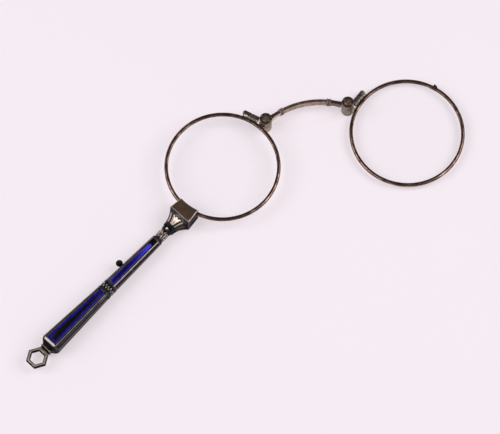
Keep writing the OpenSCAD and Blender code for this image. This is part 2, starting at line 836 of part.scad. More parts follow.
module flared_neck() {
    half_w = neck_w0 / 2;
    half_h = neck_h0 / 2;
    plan_r = flare_r(half_w, housing_w0 / 2);
    side_r = flare_r(half_h, housing_h / 2);
    color(gilt) on_handle() difference() {
        box([ferrule_s, -housing_w0 / 2, -housing_h / 2], [neck_s, housing_w0 / 2, housing_h / 2]);
        for (side = [-1, 1]) {
            translate([ferrule_s, side * (neck_w0 / 2 + plan_r), 0])
                cylinder(r = plan_r, h = 2 * housing_h, center = true);
            translate([ferrule_s, 0, side * (neck_h0 / 2 + side_r)])
                rotate([90, 0, 0]) cylinder(r = side_r, h = 2 * housing_w0, center = true);
        }
        for (side = [0, 180]) {
            rotate([side, 0, 0]) flutes(half_w, plan_r, half_h, side_r);
            rotate([side + 90, 0, 0]) flutes(half_h, side_r, half_w, plan_r);
        }
        rod_bore(ferrule_s - 1, neck_s + 1);
        hook_room();
    }
}

// Catch housing
module housing_plan(inset) {
    back = housing_w0 / 2 - inset;
    front = housing_w1 / 2 - inset;
    polygon([
        [neck_s + inset, -back], [-rim_r + 2, -front], [-rim_r + 2, front], [neck_s + inset, back]
    ]);
}

// The block has a narrow bevel round its top and foot
module housing_block() {
    hull() {
        linear_extrude(height = housing_h, center = true) housing_plan(housing_bevel);
        linear_extrude(height = housing_h - 2 * housing_bevel, center = true) housing_plan(0);
    }
}

// Space for the hook's block over its whole travel, and the window for its tip
module hook_room() {
    box(
        [hook_back_s - catch_travel - 2 * slide_gap, tip_y - slide_gap, hook_foot_z - slide_gap],
        [hook_top_s + slide_gap, rod_r + slide_gap, rod_r + slide_gap]
    );
    box(
        [hook_top_s, tip_y - slide_gap, hook_foot_z - slide_gap],
        [hook_top_s + 2.5, tip_y + tip_w + slide_gap, hook_foot_z + tip_h + slide_gap]
    );
}

module catch_housing() {
    slot_z = -lens_level - slot_h / 2;
    color(gilt) difference() {
        on_handle() difference() {
            housing_block();
            rod_bore(neck_s - 1, hook_top_s);
            hook_room();
        }
        translate([lens_1[0], lens_1[1], 0]) cylinder(r = rim_r - rim_w, h = 2 * housing_h);
        at_lens_1() rim_solid();
        at_lens_1() rotate_extrude() groove_section();
        difference() {
            translate([0, 0, mid_z + slot_z]) cylinder(r = slot_wall_r, h = slot_h);
            translate([0, 0, mid_z + slot_z - cut]) cylinder(r = rim_r, h = slot_h + 2 * cut);
        }
    }
}

// Catch
module slider_rod() {
    color(steel) on_handle()
        difference() {
            translate([rod_foot_s, 0, 0])
                rotate([0, 90, 0])
                    cylinder(r = rod_r, h = hook_back_s - rod_foot_s);
            translate([button_s, 0, 0]) rotate([-90, 0, 0]) cylinder(r = stem_r, h = rod_r * 2);
        }
}

module slider_button() {
    color(gilt) on_handle() {
        translate([button_s, button_y, 0]) sphere(r = button_r);
        translate([button_s, 0, 0]) rotate([-90, 0, 0]) cylinder(r = stem_r, h = button_y);
    }
}

module catch_hook() {
    color(steel) on_handle() {
        box([hook_back_s, tip_y, hook_foot_z], [hook_top_s, rod_r, rod_r]);
        box(
            [hook_top_s - cut, tip_y, hook_foot_z],
            [tip_end_s, tip_y + tip_w, hook_foot_z + tip_h]
        );
    }
}

module catch_return_spring() {
    color(steel) on_handle()
        translate([return_well_foot_s, 0, 0])
            rotate([0, 90, 0])
                coil(return_coil_r, return_wire_r, return_turns, return_l);
}

rim_1();
lens_1();
closing_tubes_1();
closing_screw_1();
hinge_knuckle_1();
hinge_pin_1();
hinge_spring_1();
bridge_knuckle_1();
bridge_arch();
bridge_collars();
bridge_knuckle_2();
hinge_knuckle_2();
hinge_pin_2();
hinge_spring_2();
rim_2();
lens_2();
closing_tubes_2();
closing_screw_2();
catch_lug();
catch_housing();
flared_neck();
ferrule();
handle_upper_case();
mid_band();
handle_lower_case();
end_cap();
ring_eye();
front_enamel_lower();
front_inlay_lower();
front_enamel_upper();
front_inlay_upper();
back_enamel_lower();
back_inlay_lower();
back_enamel_upper();
back_inlay_upper();
slider_button();
slider_rod();
catch_hook();
catch_return_spring();
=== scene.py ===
"""Looks for a folding lorgnette: tarnished silver-gilt, cobalt enamel and clear glass.

Sizes are in millimetres and are turned into metres when a mesh becomes a piece. The origin is the
axis of the hinge beside the fixed lens, on the table. X runs to the other hinge and Z is up.
"""

import json
from math import acos, asin, atan, atan2, cos, degrees, exp, hypot, pi, radians, sin, sqrt

import bmesh
import bpy
from mathutils import Matrix, Vector

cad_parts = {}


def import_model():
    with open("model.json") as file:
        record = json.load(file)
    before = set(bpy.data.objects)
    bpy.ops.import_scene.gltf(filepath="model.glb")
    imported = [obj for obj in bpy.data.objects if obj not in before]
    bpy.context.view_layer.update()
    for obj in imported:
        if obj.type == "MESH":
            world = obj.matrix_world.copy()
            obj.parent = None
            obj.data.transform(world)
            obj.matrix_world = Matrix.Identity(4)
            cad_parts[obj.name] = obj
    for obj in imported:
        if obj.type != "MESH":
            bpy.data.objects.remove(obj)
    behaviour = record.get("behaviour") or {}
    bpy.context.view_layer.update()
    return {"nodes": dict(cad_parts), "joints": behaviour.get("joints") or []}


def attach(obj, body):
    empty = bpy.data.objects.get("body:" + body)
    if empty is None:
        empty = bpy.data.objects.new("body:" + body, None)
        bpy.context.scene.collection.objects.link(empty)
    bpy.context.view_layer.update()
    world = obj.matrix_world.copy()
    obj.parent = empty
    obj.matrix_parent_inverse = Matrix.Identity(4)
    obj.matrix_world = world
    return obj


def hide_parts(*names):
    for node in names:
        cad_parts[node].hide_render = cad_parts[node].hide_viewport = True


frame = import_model()

MM = 0.001

# Levels and lenses
# Share of each lens that reflects nothing, as coated glass does
COATED_SHARE = 0.95
MID_Z = 3.7
LENS_LEVEL = 1.5
RIM_R = 19.0
RIM_W = 1.2
RIM_H = 1.2
GROOVE_H = 0.7
GROOVE_D = 0.35
LENS_T = 1.7
LENS_R = RIM_R - RIM_W

# Hinges
KNUCKLE_R = 2.0
KNUCKLE_EDGE = 0.14
STACK_H = 7.4
KNUCKLE_GAP = 0.1
KNUCKLE_H = (STACK_H - KNUCKLE_GAP) / 2
HINGE_REACH = RIM_R + 0.4 + KNUCKLE_R
HINGE_ANGLE = radians(36.5)
PIN_R = 0.6
HEAD_R = 1.2
HEAD_SEAT = 6.8
# Room for the spring in the upper knuckle
WELL_R = 1.35
WELL_H = 2.0
ARM_W = 2.2

# Where the lenses and the second hinge stand
LENS_1 = Vector((-HINGE_REACH * cos(HINGE_ANGLE), -HINGE_REACH * sin(HINGE_ANGLE), 0))
HINGE_2 = Vector((frame["joints"][1]["pos_m"][0] / MM, 0, 0))
LENS_2 = Vector((HINGE_2.x - LENS_1.x, LENS_1.y, 0))

# Bridge
BRIDGE_R = 26.0
BRIDGE_RISE = 3.9
BRIDGE_W = 1.1
BRIDGE_H = 3.0
BRIDGE_END_W = 0.9
BRIDGE_END_H = 2.4
COLLAR_X = 8.0
BRIDGE_CLEAR = 0.22
BRIDGE_CENTRE = Vector((HINGE_2.x / 2, BRIDGE_RISE - BRIDGE_R, MID_Z))

# Closing tubes
TUBE_ANGLE = radians(49.9)
TUBE_L = 5.4
TUBE_R = 0.875
TUBE_GAP = 0.3
TUBE_CENTRE_R = RIM_R + TUBE_GAP + TUBE_R

# Handle, measured along its axis from the fixed lens, negative toward the ring
HANDLE_ANGLE = radians(34.4)
HANDLE_OFFSET = 1.87
NECK_S = -RIM_R - 3.25
FERRULE_S = NECK_S - 5.45
CASE_TOP_S = FERRULE_S - 5.6
LEAF_S = CASE_TOP_S + 2.7
FLUTE_D = 0.3
FLUTE_W = 0.65
FLUTE_RIB = 0.3
# Points across each side of the neck, and half sizes at its foot and its head
NECK_ACROSS = 56
NECK_FOOT = 1.85
NECK_HEAD_W = 4.05
NECK_HEAD_H = 3.5
# The hook's room in the neck: the share of the length where it starts, and its half sizes
ROOM_FROM = 0.75
ROOM_W = 2.0
ROOM_H = 2.15
BORE_R = 0.5
BAND_TOP_S = CASE_TOP_S - 20.8
BAND_FOOT_S = BAND_TOP_S - 3.4
CASE_FOOT_S = BAND_FOOT_S - 24.15
CAP_END_S = CASE_FOOT_S - 1.9
COLLAR_END_S = CAP_END_S - 1.0
RING_R = 3.7
RING_BAR = 1.15
RING_BEVEL = 0.05
RING_T = 1.6
RING_S = COLLAR_END_S - RING_R * cos(radians(30))
WAIST_S = (BAND_TOP_S + BAND_FOOT_S) / 2
BUTTON_S = CASE_TOP_S - 13.5
BUTTON_R = 1.15

# Width, height, face width and side height of the case at its foot, waist and top
CASE_FOOT = (6.56, 7.4, 4.74, 4.0)
CASE_WAIST = (4.5, 5.4, 3.1, 2.6)
CASE_TOP = (3.5, 3.8, 2.2, 1.9)
CAP_END = (3.5, 2.8, 3.0, 2.3)

# Panels: start, end, the two widths and the two corner radii, along the face from its foot
LOWER_PANEL = (0.35, 23.8, 3.6, 2.15, 0.2, 0.4)
LOWER_BORDER = 0.75
WIRE_PLACES = (0.09, 0.62)
# Across, depth and metal of the points of a wire's section
WIRE_SECTION = ((-0.09, 0.1, 0), (-0.065, -0.03, 1), (0.065, -0.03, 0), (0.09, 0.1, 0), (0.24, 0.1, 0))
# Index of the side faces' metal in the case's list
SIDE_INDEX = 3
UPPER_PANEL = (0.3, 18.5, 2.0, 1.0, 0.3, 0.5)
UPPER_INLAY = (0.9, 9.9, 0.55, 0.22, 0.27, 0.1)

HANDLE = (
    Matrix.Translation((LENS_1.x, LENS_1.y, MID_Z))
    @ Matrix.Rotation(HANDLE_ANGLE, 4, "Z")
    @ Matrix.Translation((0, -HANDLE_OFFSET, 0))
)
AT_LENS_1 = Matrix.Translation((LENS_1.x, LENS_1.y, MID_Z + LENS_LEVEL))
AT_LENS_2 = Matrix.Translation((LENS_2.x, LENS_2.y, MID_Z - LENS_LEVEL))
AT_HINGE_2 = Matrix.Translation(HINGE_2)
MIRROR_X = Matrix.Diagonal((-1, 1, 1, 1))
Z_TO_X = Matrix.Rotation(pi / 2, 4, "Y")
Z_TO_Y = Matrix.Rotation(-pi / 2, 4, "X")


# Mesh tools
def loft(rings, wrap=False, paint=None):
    """A skin over rings that have the same number of points each.

    paint gives a face's material index from its row and its column.
    """
    bm = bmesh.new()
    rows = [[bm.verts.new(point) for point in ring] for ring in rings]
    count = len(rows[0])
    pairs = list(zip(rows, rows[1:]))
    if wrap:
        pairs.append((rows[-1], rows[0]))
    for row, (low, high) in enumerate(pairs):
        for k in range(count):
            after = (k + 1) % count
            face = bm.faces.new((low[k], low[after], high[after], high[k]))
            if paint:
                face.material_index = paint(row, k)
    if not wrap:
        bm.faces.new(rows[0][::-1])
        bm.faces.new(rows[-1])
    return bm


def spun(profile, turn):
    """A profile of (radius, height) points, turned about Z."""
    return [(r * cos(turn), r * sin(turn), z) for r, z in profile]


def revolve(profile, segments):
    """Takes a profile all the way round Z."""
    rings = [spun(profile, 2 * pi * i / segments) for i in range(segments)]
    bm = loft(rings, wrap=True)
    bmesh.ops.remove_doubles(bm, verts=bm.verts, dist=1e-4)
    return bm


def rod(radius, low, high, segments):
    """A plain cylinder along Z."""
    return revolve([(0, low), (radius, low), (radius, high), (0, high)], segments)


def mesh_of(name, bm):
    """Turns what was built into mesh data."""
    mesh = bpy.data.meshes.new(name)
    bm.to_mesh(mesh)
    bm.free()
    return mesh


def put(name, data):
    """A new object in the scene."""
    thing = bpy.data.objects.new(name, data)
    bpy.context.scene.collection.objects.link(thing)
    return thing


def add(bm, other, place=None):
    """Moves another mesh into this one."""
    if place is not None:
        other.transform(place)
    mesh = mesh_of("part", other)
    bm.from_mesh(mesh)
    bpy.data.meshes.remove(mesh)


def arc(centre, radius, from_deg, to_deg, steps):
    """Points on an arc in a plane."""
    points = []
    for i in range(steps + 1):
        turn = radians(from_deg + (to_deg - from_deg) * i / steps)
        points.append((centre[0] + radius * cos(turn), centre[1] + radius * sin(turn)))
    return points


def below(points):
    """The mirror images of (radius, height) points, from the last to the first."""
    return [(r, -z) for r, z in reversed(points)]


def held(points, reach=0.1):
    """Adds a point on each side of a closed outline's corners, so that worn edges stay narrow."""
    result = []
    for k, point in enumerate(points):
        corner = Vector(point)
        back = Vector(points[k - 1]) - corner
        ahead = Vector(points[(k + 1) % len(points)]) - corner
        if back.length > 2.5 * reach:
            result.append(corner + back.normalized() * reach)
        result.append(corner)
        if ahead.length > 2.5 * reach:
            result.append(corner + ahead.normalized() * reach)
    return result


def add_blob(bm, centre, along, across, up, detail=2, metal_index=0):
    """A rounded boss with the three half axes given as vectors."""
    place = Matrix((along, across, up)).transposed().to_4x4()
    place.translation = centre
    blob = bmesh.ops.create_icosphere(bm, subdivisions=detail, radius=1.0, matrix=place)
    for vert in blob["verts"]:
        for face in vert.link_faces:
            face.material_index = metal_index


def new_piece(name, bm, materials, node=None, body="handle", place=HANDLE, sharp=32.0, bevel=0.0,
              highlight_edges=False):
    """Turns a mesh in millimetres into a piece in metres that rides on a body, in place of a node."""
    bmesh.ops.recalc_face_normals(bm, faces=bm.faces)
    bm.transform(Matrix.Scale(MM, 4) @ place)
    mesh = mesh_of(name, bm)
    if place.determinant() < 0:
        mesh.flip_normals()
    mesh.shade_smooth()
    mesh.set_sharp_from_angle(angle=radians(sharp))
    if not isinstance(materials, tuple):
        materials = (materials,)
    for material in materials:
        mesh.materials.append(material)
    piece = put(name, mesh)
    if bevel:
        edge = piece.modifiers.new("edge", "BEVEL")
        edge.width = bevel * MM
        edge.segments = 2
        edge.limit_method = "ANGLE"
        edge.angle_limit = radians(30)
        edge.harden_normals = True
        # When asked for, the bevel's faces take the last, lighter metal as a painted highlight
        edge.material = len(materials) - 1 if highlight_edges else -1
    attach(piece, body)
    if node:
        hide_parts(node)


def dress(node, material):
    """Gives a CAD node that keeps its shape a better material."""
    thing = frame["nodes"][node]
    for slot in thing.material_slots:
        slot.link = "OBJECT"
        slot.material = material


# Materials
# Noise scales per metre
GRAIN = 3600
PITTING = 2600
STAINS = 700
# Where the upper panel's enamel is painted lighter, as a sheen, in millimetres along the handle
SHEEN_FROM = -64.0
SHEEN_TO = -59.0


def shader(name):
    """A new material with its node tree, its Principled node and an object-coordinates socket."""
    material = bpy.data.materials.new(name)
    material.use_nodes = True
    tree = material.node_tree
    principled = tree.nodes["Principled BSDF"]
    return material, tree, principled, node_of(tree, "TexCoord", output="Object")


def feed(tree, node, inputs):
    """Sets a node's inputs, by name or number, from sockets or values."""
    for key, value in inputs.items():
        socket = node.inputs[key]
        if isinstance(value, bpy.types.NodeSocket):
            tree.links.new(value, socket)
        else:
            socket.default_value = (*value, 1.0) if socket.type == "RGBA" else value


def node_of(tree, kind, inputs=None, output=0, **settings):
    """Adds a shader node and gives one of its outputs."""
    node = tree.nodes.new("ShaderNode" + kind)
    for setting, value in settings.items():
        setattr(node, setting, value)
    feed(tree, node, inputs or {})
    return node.outputs[output]


def noise_of(tree, place, scale, detail=5.0, rough=0.6):
    """Noise over the surface, with its scale per metre."""
    inputs = {"Vector": place, "Scale": scale, "Detail": detail, "Roughness": rough}
    return node_of(tree, "TexNoise", inputs, "Fac")


def ramp_of(tree, value, stops):
    """A colour ramp with stops of (position, colour)."""
    colour = node_of(tree, "ValToRGB", {"Fac": value}, "Color")
    elements = colour.node.color_ramp.elements
    for extra in range(len(stops) - 2):
        elements.new(0.5)
    for element, (position, shade) in zip(elements, stops):
        element.position = position
        element.color = (*shade, 1.0)
    return colour


def mix_of(tree, share, low, high):
    """Mixes two colours by a share."""
    return node_of(tree, "Mix", {0: share, 6: low, 7: high}, 2, data_type="RGBA")


def range_of(tree, value, low, high, to_low=0.0, to_high=1.0):
    """Maps a value from one range to another, held at its ends."""
    inputs = {"Value": value, "From Min": low, "From Max": high, "To Min": to_low, "To Max": to_high}
    return node_of(tree, "MapRange", inputs, "Result")


def math_of(tree, operation, first, second):
    """One operation on two values."""
    return node_of(tree, "Math", {0: first, 1: second}, operation=operation)


def bump_of(tree, principled, height, strength):
    """Roughens the surface by up to 0.02 mm."""
    inputs = {"Height": height, "Strength": strength, "Distance": 0.02 * MM}
    feed(tree, principled, {"Normal": node_of(tree, "Bump", inputs)})


def surface_of(tree, share, first, second):
    """Makes the surface a mix of two shaders."""
    both = node_of(tree, "MixShader", {"Fac": share, 1: first, 2: second})
    feed(tree, tree.nodes["Material Output"], {"Surface": both})


def brushing(tree, place):
    """Fine lines that run across the handle."""
    inputs = {"Vector": place, "Rotation": (0, 0, HANDLE_ANGLE), "Scale": (0.16, 3.0, 1.0)}
    turned = node_of(tree, "Mapping", inputs, vector_type="TEXTURE")
    return noise_of(tree, turned, 1100, 3.0)


def metal(name, dark, mid, bright, rough=(0.22, 0.42), bare=(0.55, 1.0), worn=0.35, grazing=0.5,
          scale=380, patina=None, patina_from=0.56, brushed=False):
    """Worn metal: blotches of tarnish, fine grain, bright worn edges and perhaps a patina.

    bare is how metallic the most tarnished and the barest places are, and grazing how much the
    surface brightens when it is seen along.
    """
    material, tree, principled, place = shader(name)
    blotch = noise_of(tree, place, scale, 6.0, 0.62)
    grain = noise_of(tree, place, GRAIN, 4.0, 0.7)
    colour = ramp_of(tree, blotch, [(0.32, dark), (0.52, mid), (0.7, bright)])
    fine = range_of(tree, grain, 0.35, 0.75)
    colour = mix_of(tree, fine, colour, mix_of(tree, 0.5, colour, dark))
    metallic = range_of(tree, blotch, 0.35, 0.65, *bare)
    if brushed:
        lines = brushing(tree, place)
        colour = mix_of(tree, range_of(tree, lines, 0.35, 0.65, 0.0, 0.75), colour, dark)
    if worn:
        pointed = node_of(tree, "NewGeometry", output="Pointiness")
        edge = range_of(tree, pointed, 0.52, 0.6)
        colour = mix_of(tree, edge, colour, tuple(c + (0.85 - c) * worn for c in bright))
    if patina:
        stain = noise_of(tree, place, STAINS, 5.0, 0.65)
        spots = range_of(tree, stain, patina_from - 0.06, patina_from + 0.04)
        colour = mix_of(tree, spots, colour, patina)
        metallic = math_of(tree, "MULTIPLY", metallic, range_of(tree, spots, 0.0, 1.0, 1.0, 0.15))
    feed(tree, principled, {
        "Base Color": colour,
        "Metallic": metallic,
        "Roughness": range_of(tree, grain, 0.3, 0.7, *rough),
        "Specular Tint": (grazing, grazing, grazing),
    })
    bump_of(tree, principled, noise_of(tree, place, PITTING, 5.0, 0.7), 0.35)
    return material


def enamel(name, deep, sheen_and_cloud):
    """Glossy translucent enamel over fine engine turning, with a painted sheen that lightens it at the
    upper panel's end.
    """
    material, tree, principled, place = shader(name)
    turned = node_of(tree, "Mapping", {"Vector": place, "Rotation": (0, 0, -HANDLE_ANGLE)})
    turning = {"Vector": turned, "Scale": 900, "Distortion": 0.6, "Detail": 1.0}
    wave = node_of(tree, "TexWave", turning, "Fac", bands_direction="X")
    reach = node_of(tree, "SeparateXYZ", {"Vector": turned}, "X")
    # Painted sheen: the colour runs from the deep tone to the light one along the handle, toward the
    # upper panel's end
    along = range_of(tree, reach, SHEEN_FROM * MM, SHEEN_TO * MM)
    cloud = range_of(tree, noise_of(tree, place, 520, 4.0), 0.35, 0.75)
    base = mix_of(tree, along, deep, sheen_and_cloud)
    base = mix_of(tree, cloud, base, mix_of(tree, 0.3, base, sheen_and_cloud))
    lines = range_of(tree, wave, 0.2, 0.9, 0.0, 0.45)
    feed(tree, principled, {
        "Base Color": mix_of(tree, lines, base, tuple(c * 0.4 for c in deep)),
        "Roughness": 0.22,
        "Specular IOR Level": 0.2,
        "Coat Weight": 0.12,
        "Coat Roughness": 0.08,
    })
    bump_of(tree, principled, noise_of(tree, place, 900, 2.0), 0.12)
    return material


def clear_glass(name):
    """Clear glass whose shadow lets the light through."""
    material, tree, principled, place = shader(name)
    feed(tree, principled, {
        "Base Color": (0.985, 0.99, 0.99),
        "Roughness": 0.0,
        "Transmission Weight": 1.0,
        "IOR": 1.5,
    })
    path = node_of(tree, "LightPath").node
    unseen = math_of(
        tree, "MAXIMUM", path.outputs["Is Shadow Ray"], path.outputs["Is Diffuse Ray"]
    )
    share = math_of(tree, "MAXIMUM", unseen, COATED_SHARE)
    through = node_of(tree, "BsdfTransparent", {"Color": (0.997, 0.998, 0.998)})
    surface_of(tree, share, principled.outputs["BSDF"], through)
    return material


CASE_METAL = metal(
    "case_metal", (0.004, 0.003, 0.003), (0.0115, 0.009, 0.0088), (0.045, 0.037, 0.035),
    bare=(0.5, 0.9), worn=0.1, grazing=0.15,
)
WIRE_METAL = metal(
    "wire_metal", (0.04, 0.034, 0.034), (0.11, 0.095, 0.095), (0.22, 0.195, 0.195),
    worn=0.1, grazing=0.3,
)
RAIL_METAL = metal(
    "rail_metal", (0.065, 0.056, 0.055), (0.165, 0.143, 0.14), (0.33, 0.29, 0.285),
    worn=0.15, grazing=0.3,
)
SIDE_METAL = metal(
    "side_metal", (0.035, 0.03, 0.033), (0.08, 0.068, 0.075), (0.19, 0.165, 0.175),
    bare=(0.5, 0.9), worn=0.12, grazing=0.4,
)
BAND_METAL = metal(
    "band_metal", (0.03, 0.025, 0.024), (0.11, 0.092, 0.086), (0.45, 0.39, 0.36), scale=900
)
RIM_METAL = metal(
    "rim_metal", (0.06, 0.031, 0.023), (0.23, 0.142, 0.106), (0.62, 0.44, 0.36),
    rough=(0.16, 0.32), bare=(0.85, 1.0), worn=0, grazing=0.4,
)
HEAD_METAL = metal(
    "head_metal", (0.07, 0.04, 0.026), (0.135, 0.081, 0.052), (0.21, 0.138, 0.096),
    rough=(0.3, 0.45), bare=(0.4, 0.65), worn=0, brushed=True,
)
NECK_METAL = metal(
    "neck_metal", (0.007, 0.0062, 0.008), (0.022, 0.0195, 0.023), (0.13, 0.112, 0.11),
    bare=(0.75, 1.0), worn=0.15, grazing=0.3,
)
LEAF_METAL = metal(
    "leaf_metal", (0.045, 0.032, 0.028), (0.36, 0.28, 0.245), (0.9, 0.77, 0.69), worn=0.5, scale=900
)
# A lighter copy of the metal, painted where highlights fall: on bevels, flats, slopes and flutes
HIGHLIGHT_METAL = metal(
    "painted_highlight_metal", (0.28, 0.205, 0.17), (0.52, 0.41, 0.355), (0.74, 0.61, 0.54),
    rough=(0.32, 0.48), bare=(0.8, 1.0), grazing=1.0, scale=700,
)
BRIDGE_METAL = metal(
    "bridge_metal", (0.042, 0.024, 0.015), (0.12, 0.071, 0.045), (0.32, 0.21, 0.145),
    rough=(0.3, 0.5), bare=(0.4, 0.8), worn=0.15, scale=700,
)
TAN_METAL = metal(
    "tan_metal", (0.12, 0.078, 0.055), (0.35, 0.243, 0.18), (0.64, 0.48, 0.38), grazing=1.0, scale=700
)
STAINED_METAL = metal(
    "stained_metal", (0.09, 0.068, 0.052), (0.36, 0.275, 0.22), (0.78, 0.64, 0.54), scale=700,
    patina=(0.12, 0.14, 0.1), patina_from=0.6,
)
KNUCKLE_METAL = metal(
    "knuckle_metal", (0.018, 0.0105, 0.007), (0.068, 0.04, 0.028), (0.22, 0.142, 0.1),
    bare=(0.4, 0.9), worn=0.15, scale=900, grazing=0.3,
)
TUBE_METAL = metal(
    "tube_metal", (0.017, 0.0085, 0.006), (0.062, 0.034, 0.022), (0.17, 0.1, 0.068),
    rough=(0.35, 0.5), bare=(0.2, 0.6), worn=0.12, scale=700, grazing=0.3,
)
GREEN_METAL = metal(
    "green_metal", (0.035, 0.03, 0.022), (0.15, 0.128, 0.1), (0.6, 0.52, 0.44), scale=900,
    patina=(0.13, 0.175, 0.125), patina_from=0.54,
)
SCREW_METAL = metal(
    "screw_metal", (0.04, 0.024, 0.015), (0.14, 0.086, 0.054), (0.36, 0.25, 0.18),
    rough=(0.3, 0.5), bare=(0.4, 0.8), worn=0.2, scale=1100,
)
STEEL = metal("steel", (0.18, 0.18, 0.19), (0.35, 0.35, 0.36), (0.55, 0.55, 0.56), rough=(0.2, 0.32))
BLUE = enamel("blue_enamel", (0.006, 0.002, 0.12), (0.05, 0.045, 0.9))
DARK = enamel("dark_enamel", (0.004, 0.0035, 0.007), (0.012, 0.011, 0.028))
GLASS = clear_glass("lens_glass")


# Handle case
def mix(a, b, share):
    """A tuple part of the way from one to another."""
    return tuple(x + (y - x) * share for x, y in zip(a, b))


def case_sizes(s):
    """Width, height, face width and side height of the case at a place along the handle."""
    if s < WAIST_S:
        return mix(CASE_FOOT, CASE_WAIST, (s - CASE_FOOT_S) / (WAIST_S - CASE_FOOT_S))
    return mix(CASE_WAIST, CASE_TOP, (s - WAIST_S) / (CASE_TOP_S - WAIST_S))


def octagon(sizes):
    """Corners of the case's section, as (across, up), starting with a slanting face."""
    w, h, face, side = (value / 2 for value in sizes)
    corners = [(face, h), (w, side), (w, -side), (face, -h)]
    corners += [(-face, -h), (-w, -side), (-w, side), (-face, h)]
    return [Vector(corner) for corner in corners]


def facing(ruled, mirrored):
    """A slanting face's (share, depth, metal) points in the outline's order.

    The shares run from the flat face to the side. The metal is that of the strip after the point.
    """
    if not mirrored or not ruled:
        return ruled
    metals = [metal_index for *_, metal_index in ruled][-2::-1] + [0]
    turned = zip(reversed(ruled), metals)
    return [(1 - share, depth, metal_index) for (share, depth, _), metal_index in turned]


def outline(sizes, chamfer, ruled, grow=0.0):
    """A section with chamfered corners, and ruled points on its slanting faces."""
    corners = [corner * (1 + grow / corner.length) for corner in octagon(sizes)]
    points = []
    for k, corner in enumerate(corners):
        back = (corners[k - 1] - corner).normalized()
        edge = corners[(k + 1) % 8] - corner
        ahead = edge.normalized()
        points += [corner + back * chamfer * 2, corner + back * chamfer]
        points += [corner + ahead * chamfer, corner + ahead * chamfer * 2]
        if k % 2 == 0:
            inward = Vector((-ahead.y, ahead.x))
            if inward.dot(corner) > 0:
                inward = -inward
            start = corner + ahead * chamfer * 2
            run = edge - ahead * chamfer * 4
            for share, depth, metal_index in facing(ruled, k in (2, 6)):
                points.append(start + run * share + inward * depth)
    return points


def strips(ruled):
    """Material index of each strip of an outline, and whether it is on the front or back face."""
    marks = []
    for k in range(8):
        edge = k in (3, 7)
        marks += [(0, k in (0, 4)), (int(k in (0, 3, 4, 7)), False)]
        marks += [(0, edge), (SIDE_INDEX if k in (1, 5) else 0, edge)]
        if k % 2 == 0:
            marks += [(metal_index, False) for *_, metal_index in facing(ruled, k in (2, 6))]
    return zip(*marks)


def stand(s, points):
    """Stands a section up at a place along the handle."""
    return [Vector((s, point[0], point[1])) for point in points]


def case_ring(s, chamfer, ruled=(), grow=0.0):
    """The case's section at a place along the handle."""
    return stand(s, outline(case_sizes(s), chamfer, ruled, grow))


def wires(raised):
    """Section of a slanting face of the lower case: raised wires with dark channels between."""
    points = []
    for middle in WIRE_PLACES:
        for across, depth, metal_index in WIRE_SECTION:
            points.append((middle + across, depth if raised else 0.0, metal_index))
    return points


def lower_case():
    """The foot's bevel, painted bright on the front and back faces as a highlight, then wires along the
    slanting faces.
    """
    rings = []
    for along, grow in ((0.0, -0.1), (0.12, 0.0), (0.5, 0.0)):
        rings.append(case_ring(CASE_FOOT_S + along, 0.12, wires(False), grow))
    steps = 24
    for i in range(steps + 1):
        s = CASE_FOOT_S + 1.0 + (BAND_FOOT_S - CASE_FOOT_S - 1.6) * i / steps
        rings.append(case_ring(s, 0.12, wires(True)))
    for back in (0.3, 0.0):
        rings.append(case_ring(BAND_FOOT_S - back, 0.12, wires(False)))
    metals, flats = strips(wires(True))

    def paint(row, column):
        if row < 2:
            # Painted highlight: the foot's bevel is bright on the front and back faces only
            return 2 if flats[column] and row == 0 else 0
        return metals[column] if row < steps + 3 else 0

    bm = loft(rings, paint=paint)
    case_metals = (CASE_METAL, WIRE_METAL, HIGHLIGHT_METAL, SIDE_METAL)
    new_piece("lower_case", bm, case_metals, "handle_lower_case", sharp=24)


def ladder(depth):
    """Section of a slanting face of the upper case: two rails, with a rung between them."""
    return [
        (0.0, 0.0, 1), (0.2, 0.0, 0), (0.24, 0.16, 0), (0.28, depth, 0), (0.64, depth, 0),
        (0.7, 0.16, 0), (0.74, 0.0, 0), (0.84, 0.0, 0),
    ]


def upper_case():
    """The slanting faces carry a ladder of rungs between two rails."""
    rungs = 31
    pitch = (CASE_TOP_S - BAND_TOP_S - 1.2) / rungs
    places = [(BAND_TOP_S, 0.0), (BAND_TOP_S + 0.5, 0.0)]
    for i in range(rungs):
        s = BAND_TOP_S + 0.6 + pitch * i
        for share, depth in ((0.0, 0.03), (0.15, 0.22), (0.6, 0.22), (0.75, 0.03)):
            places.append((s + pitch * share, depth))
    places += [(CASE_TOP_S - 0.4, 0.0), (CASE_TOP_S, 0.0)]
    rings = [case_ring(s, 0.08, ladder(depth)) for s, depth in places]
    metals, _ = strips(ladder(0.0))
    between, _ = strips([(share, 0.0, int(0.2 < share < 0.5)) for share, *_ in ladder(0.0)])

    def paint(row, column):
        """Light rails, and light tops on the rungs."""
        rung = between[column] and 1 < row < len(places) - 3 and (row - 1) % 4 == 0
        return 1 if rung else metals[column]

    bm = loft(rings, paint=paint)
    case_metals = (CASE_METAL, RAIL_METAL, HIGHLIGHT_METAL, SIDE_METAL)
    new_piece("upper_case", bm, case_metals, "handle_upper_case", sharp=24)


def face_frame(from_s, to_s, side):
    """The place of a front or back face, with X along it and Z out of it."""
    rise = (case_sizes(from_s)[1] - case_sizes(to_s)[1]) / 2
    slope = atan(rise / (to_s - from_s))
    turn = Matrix.Rotation(0 if side > 0 else pi, 4, "X")
    lift = Matrix.Translation((from_s, 0, case_sizes(from_s)[1] / 2))
    return HANDLE @ turn @ lift @ Matrix.Rotation(slope, 4, "Y")


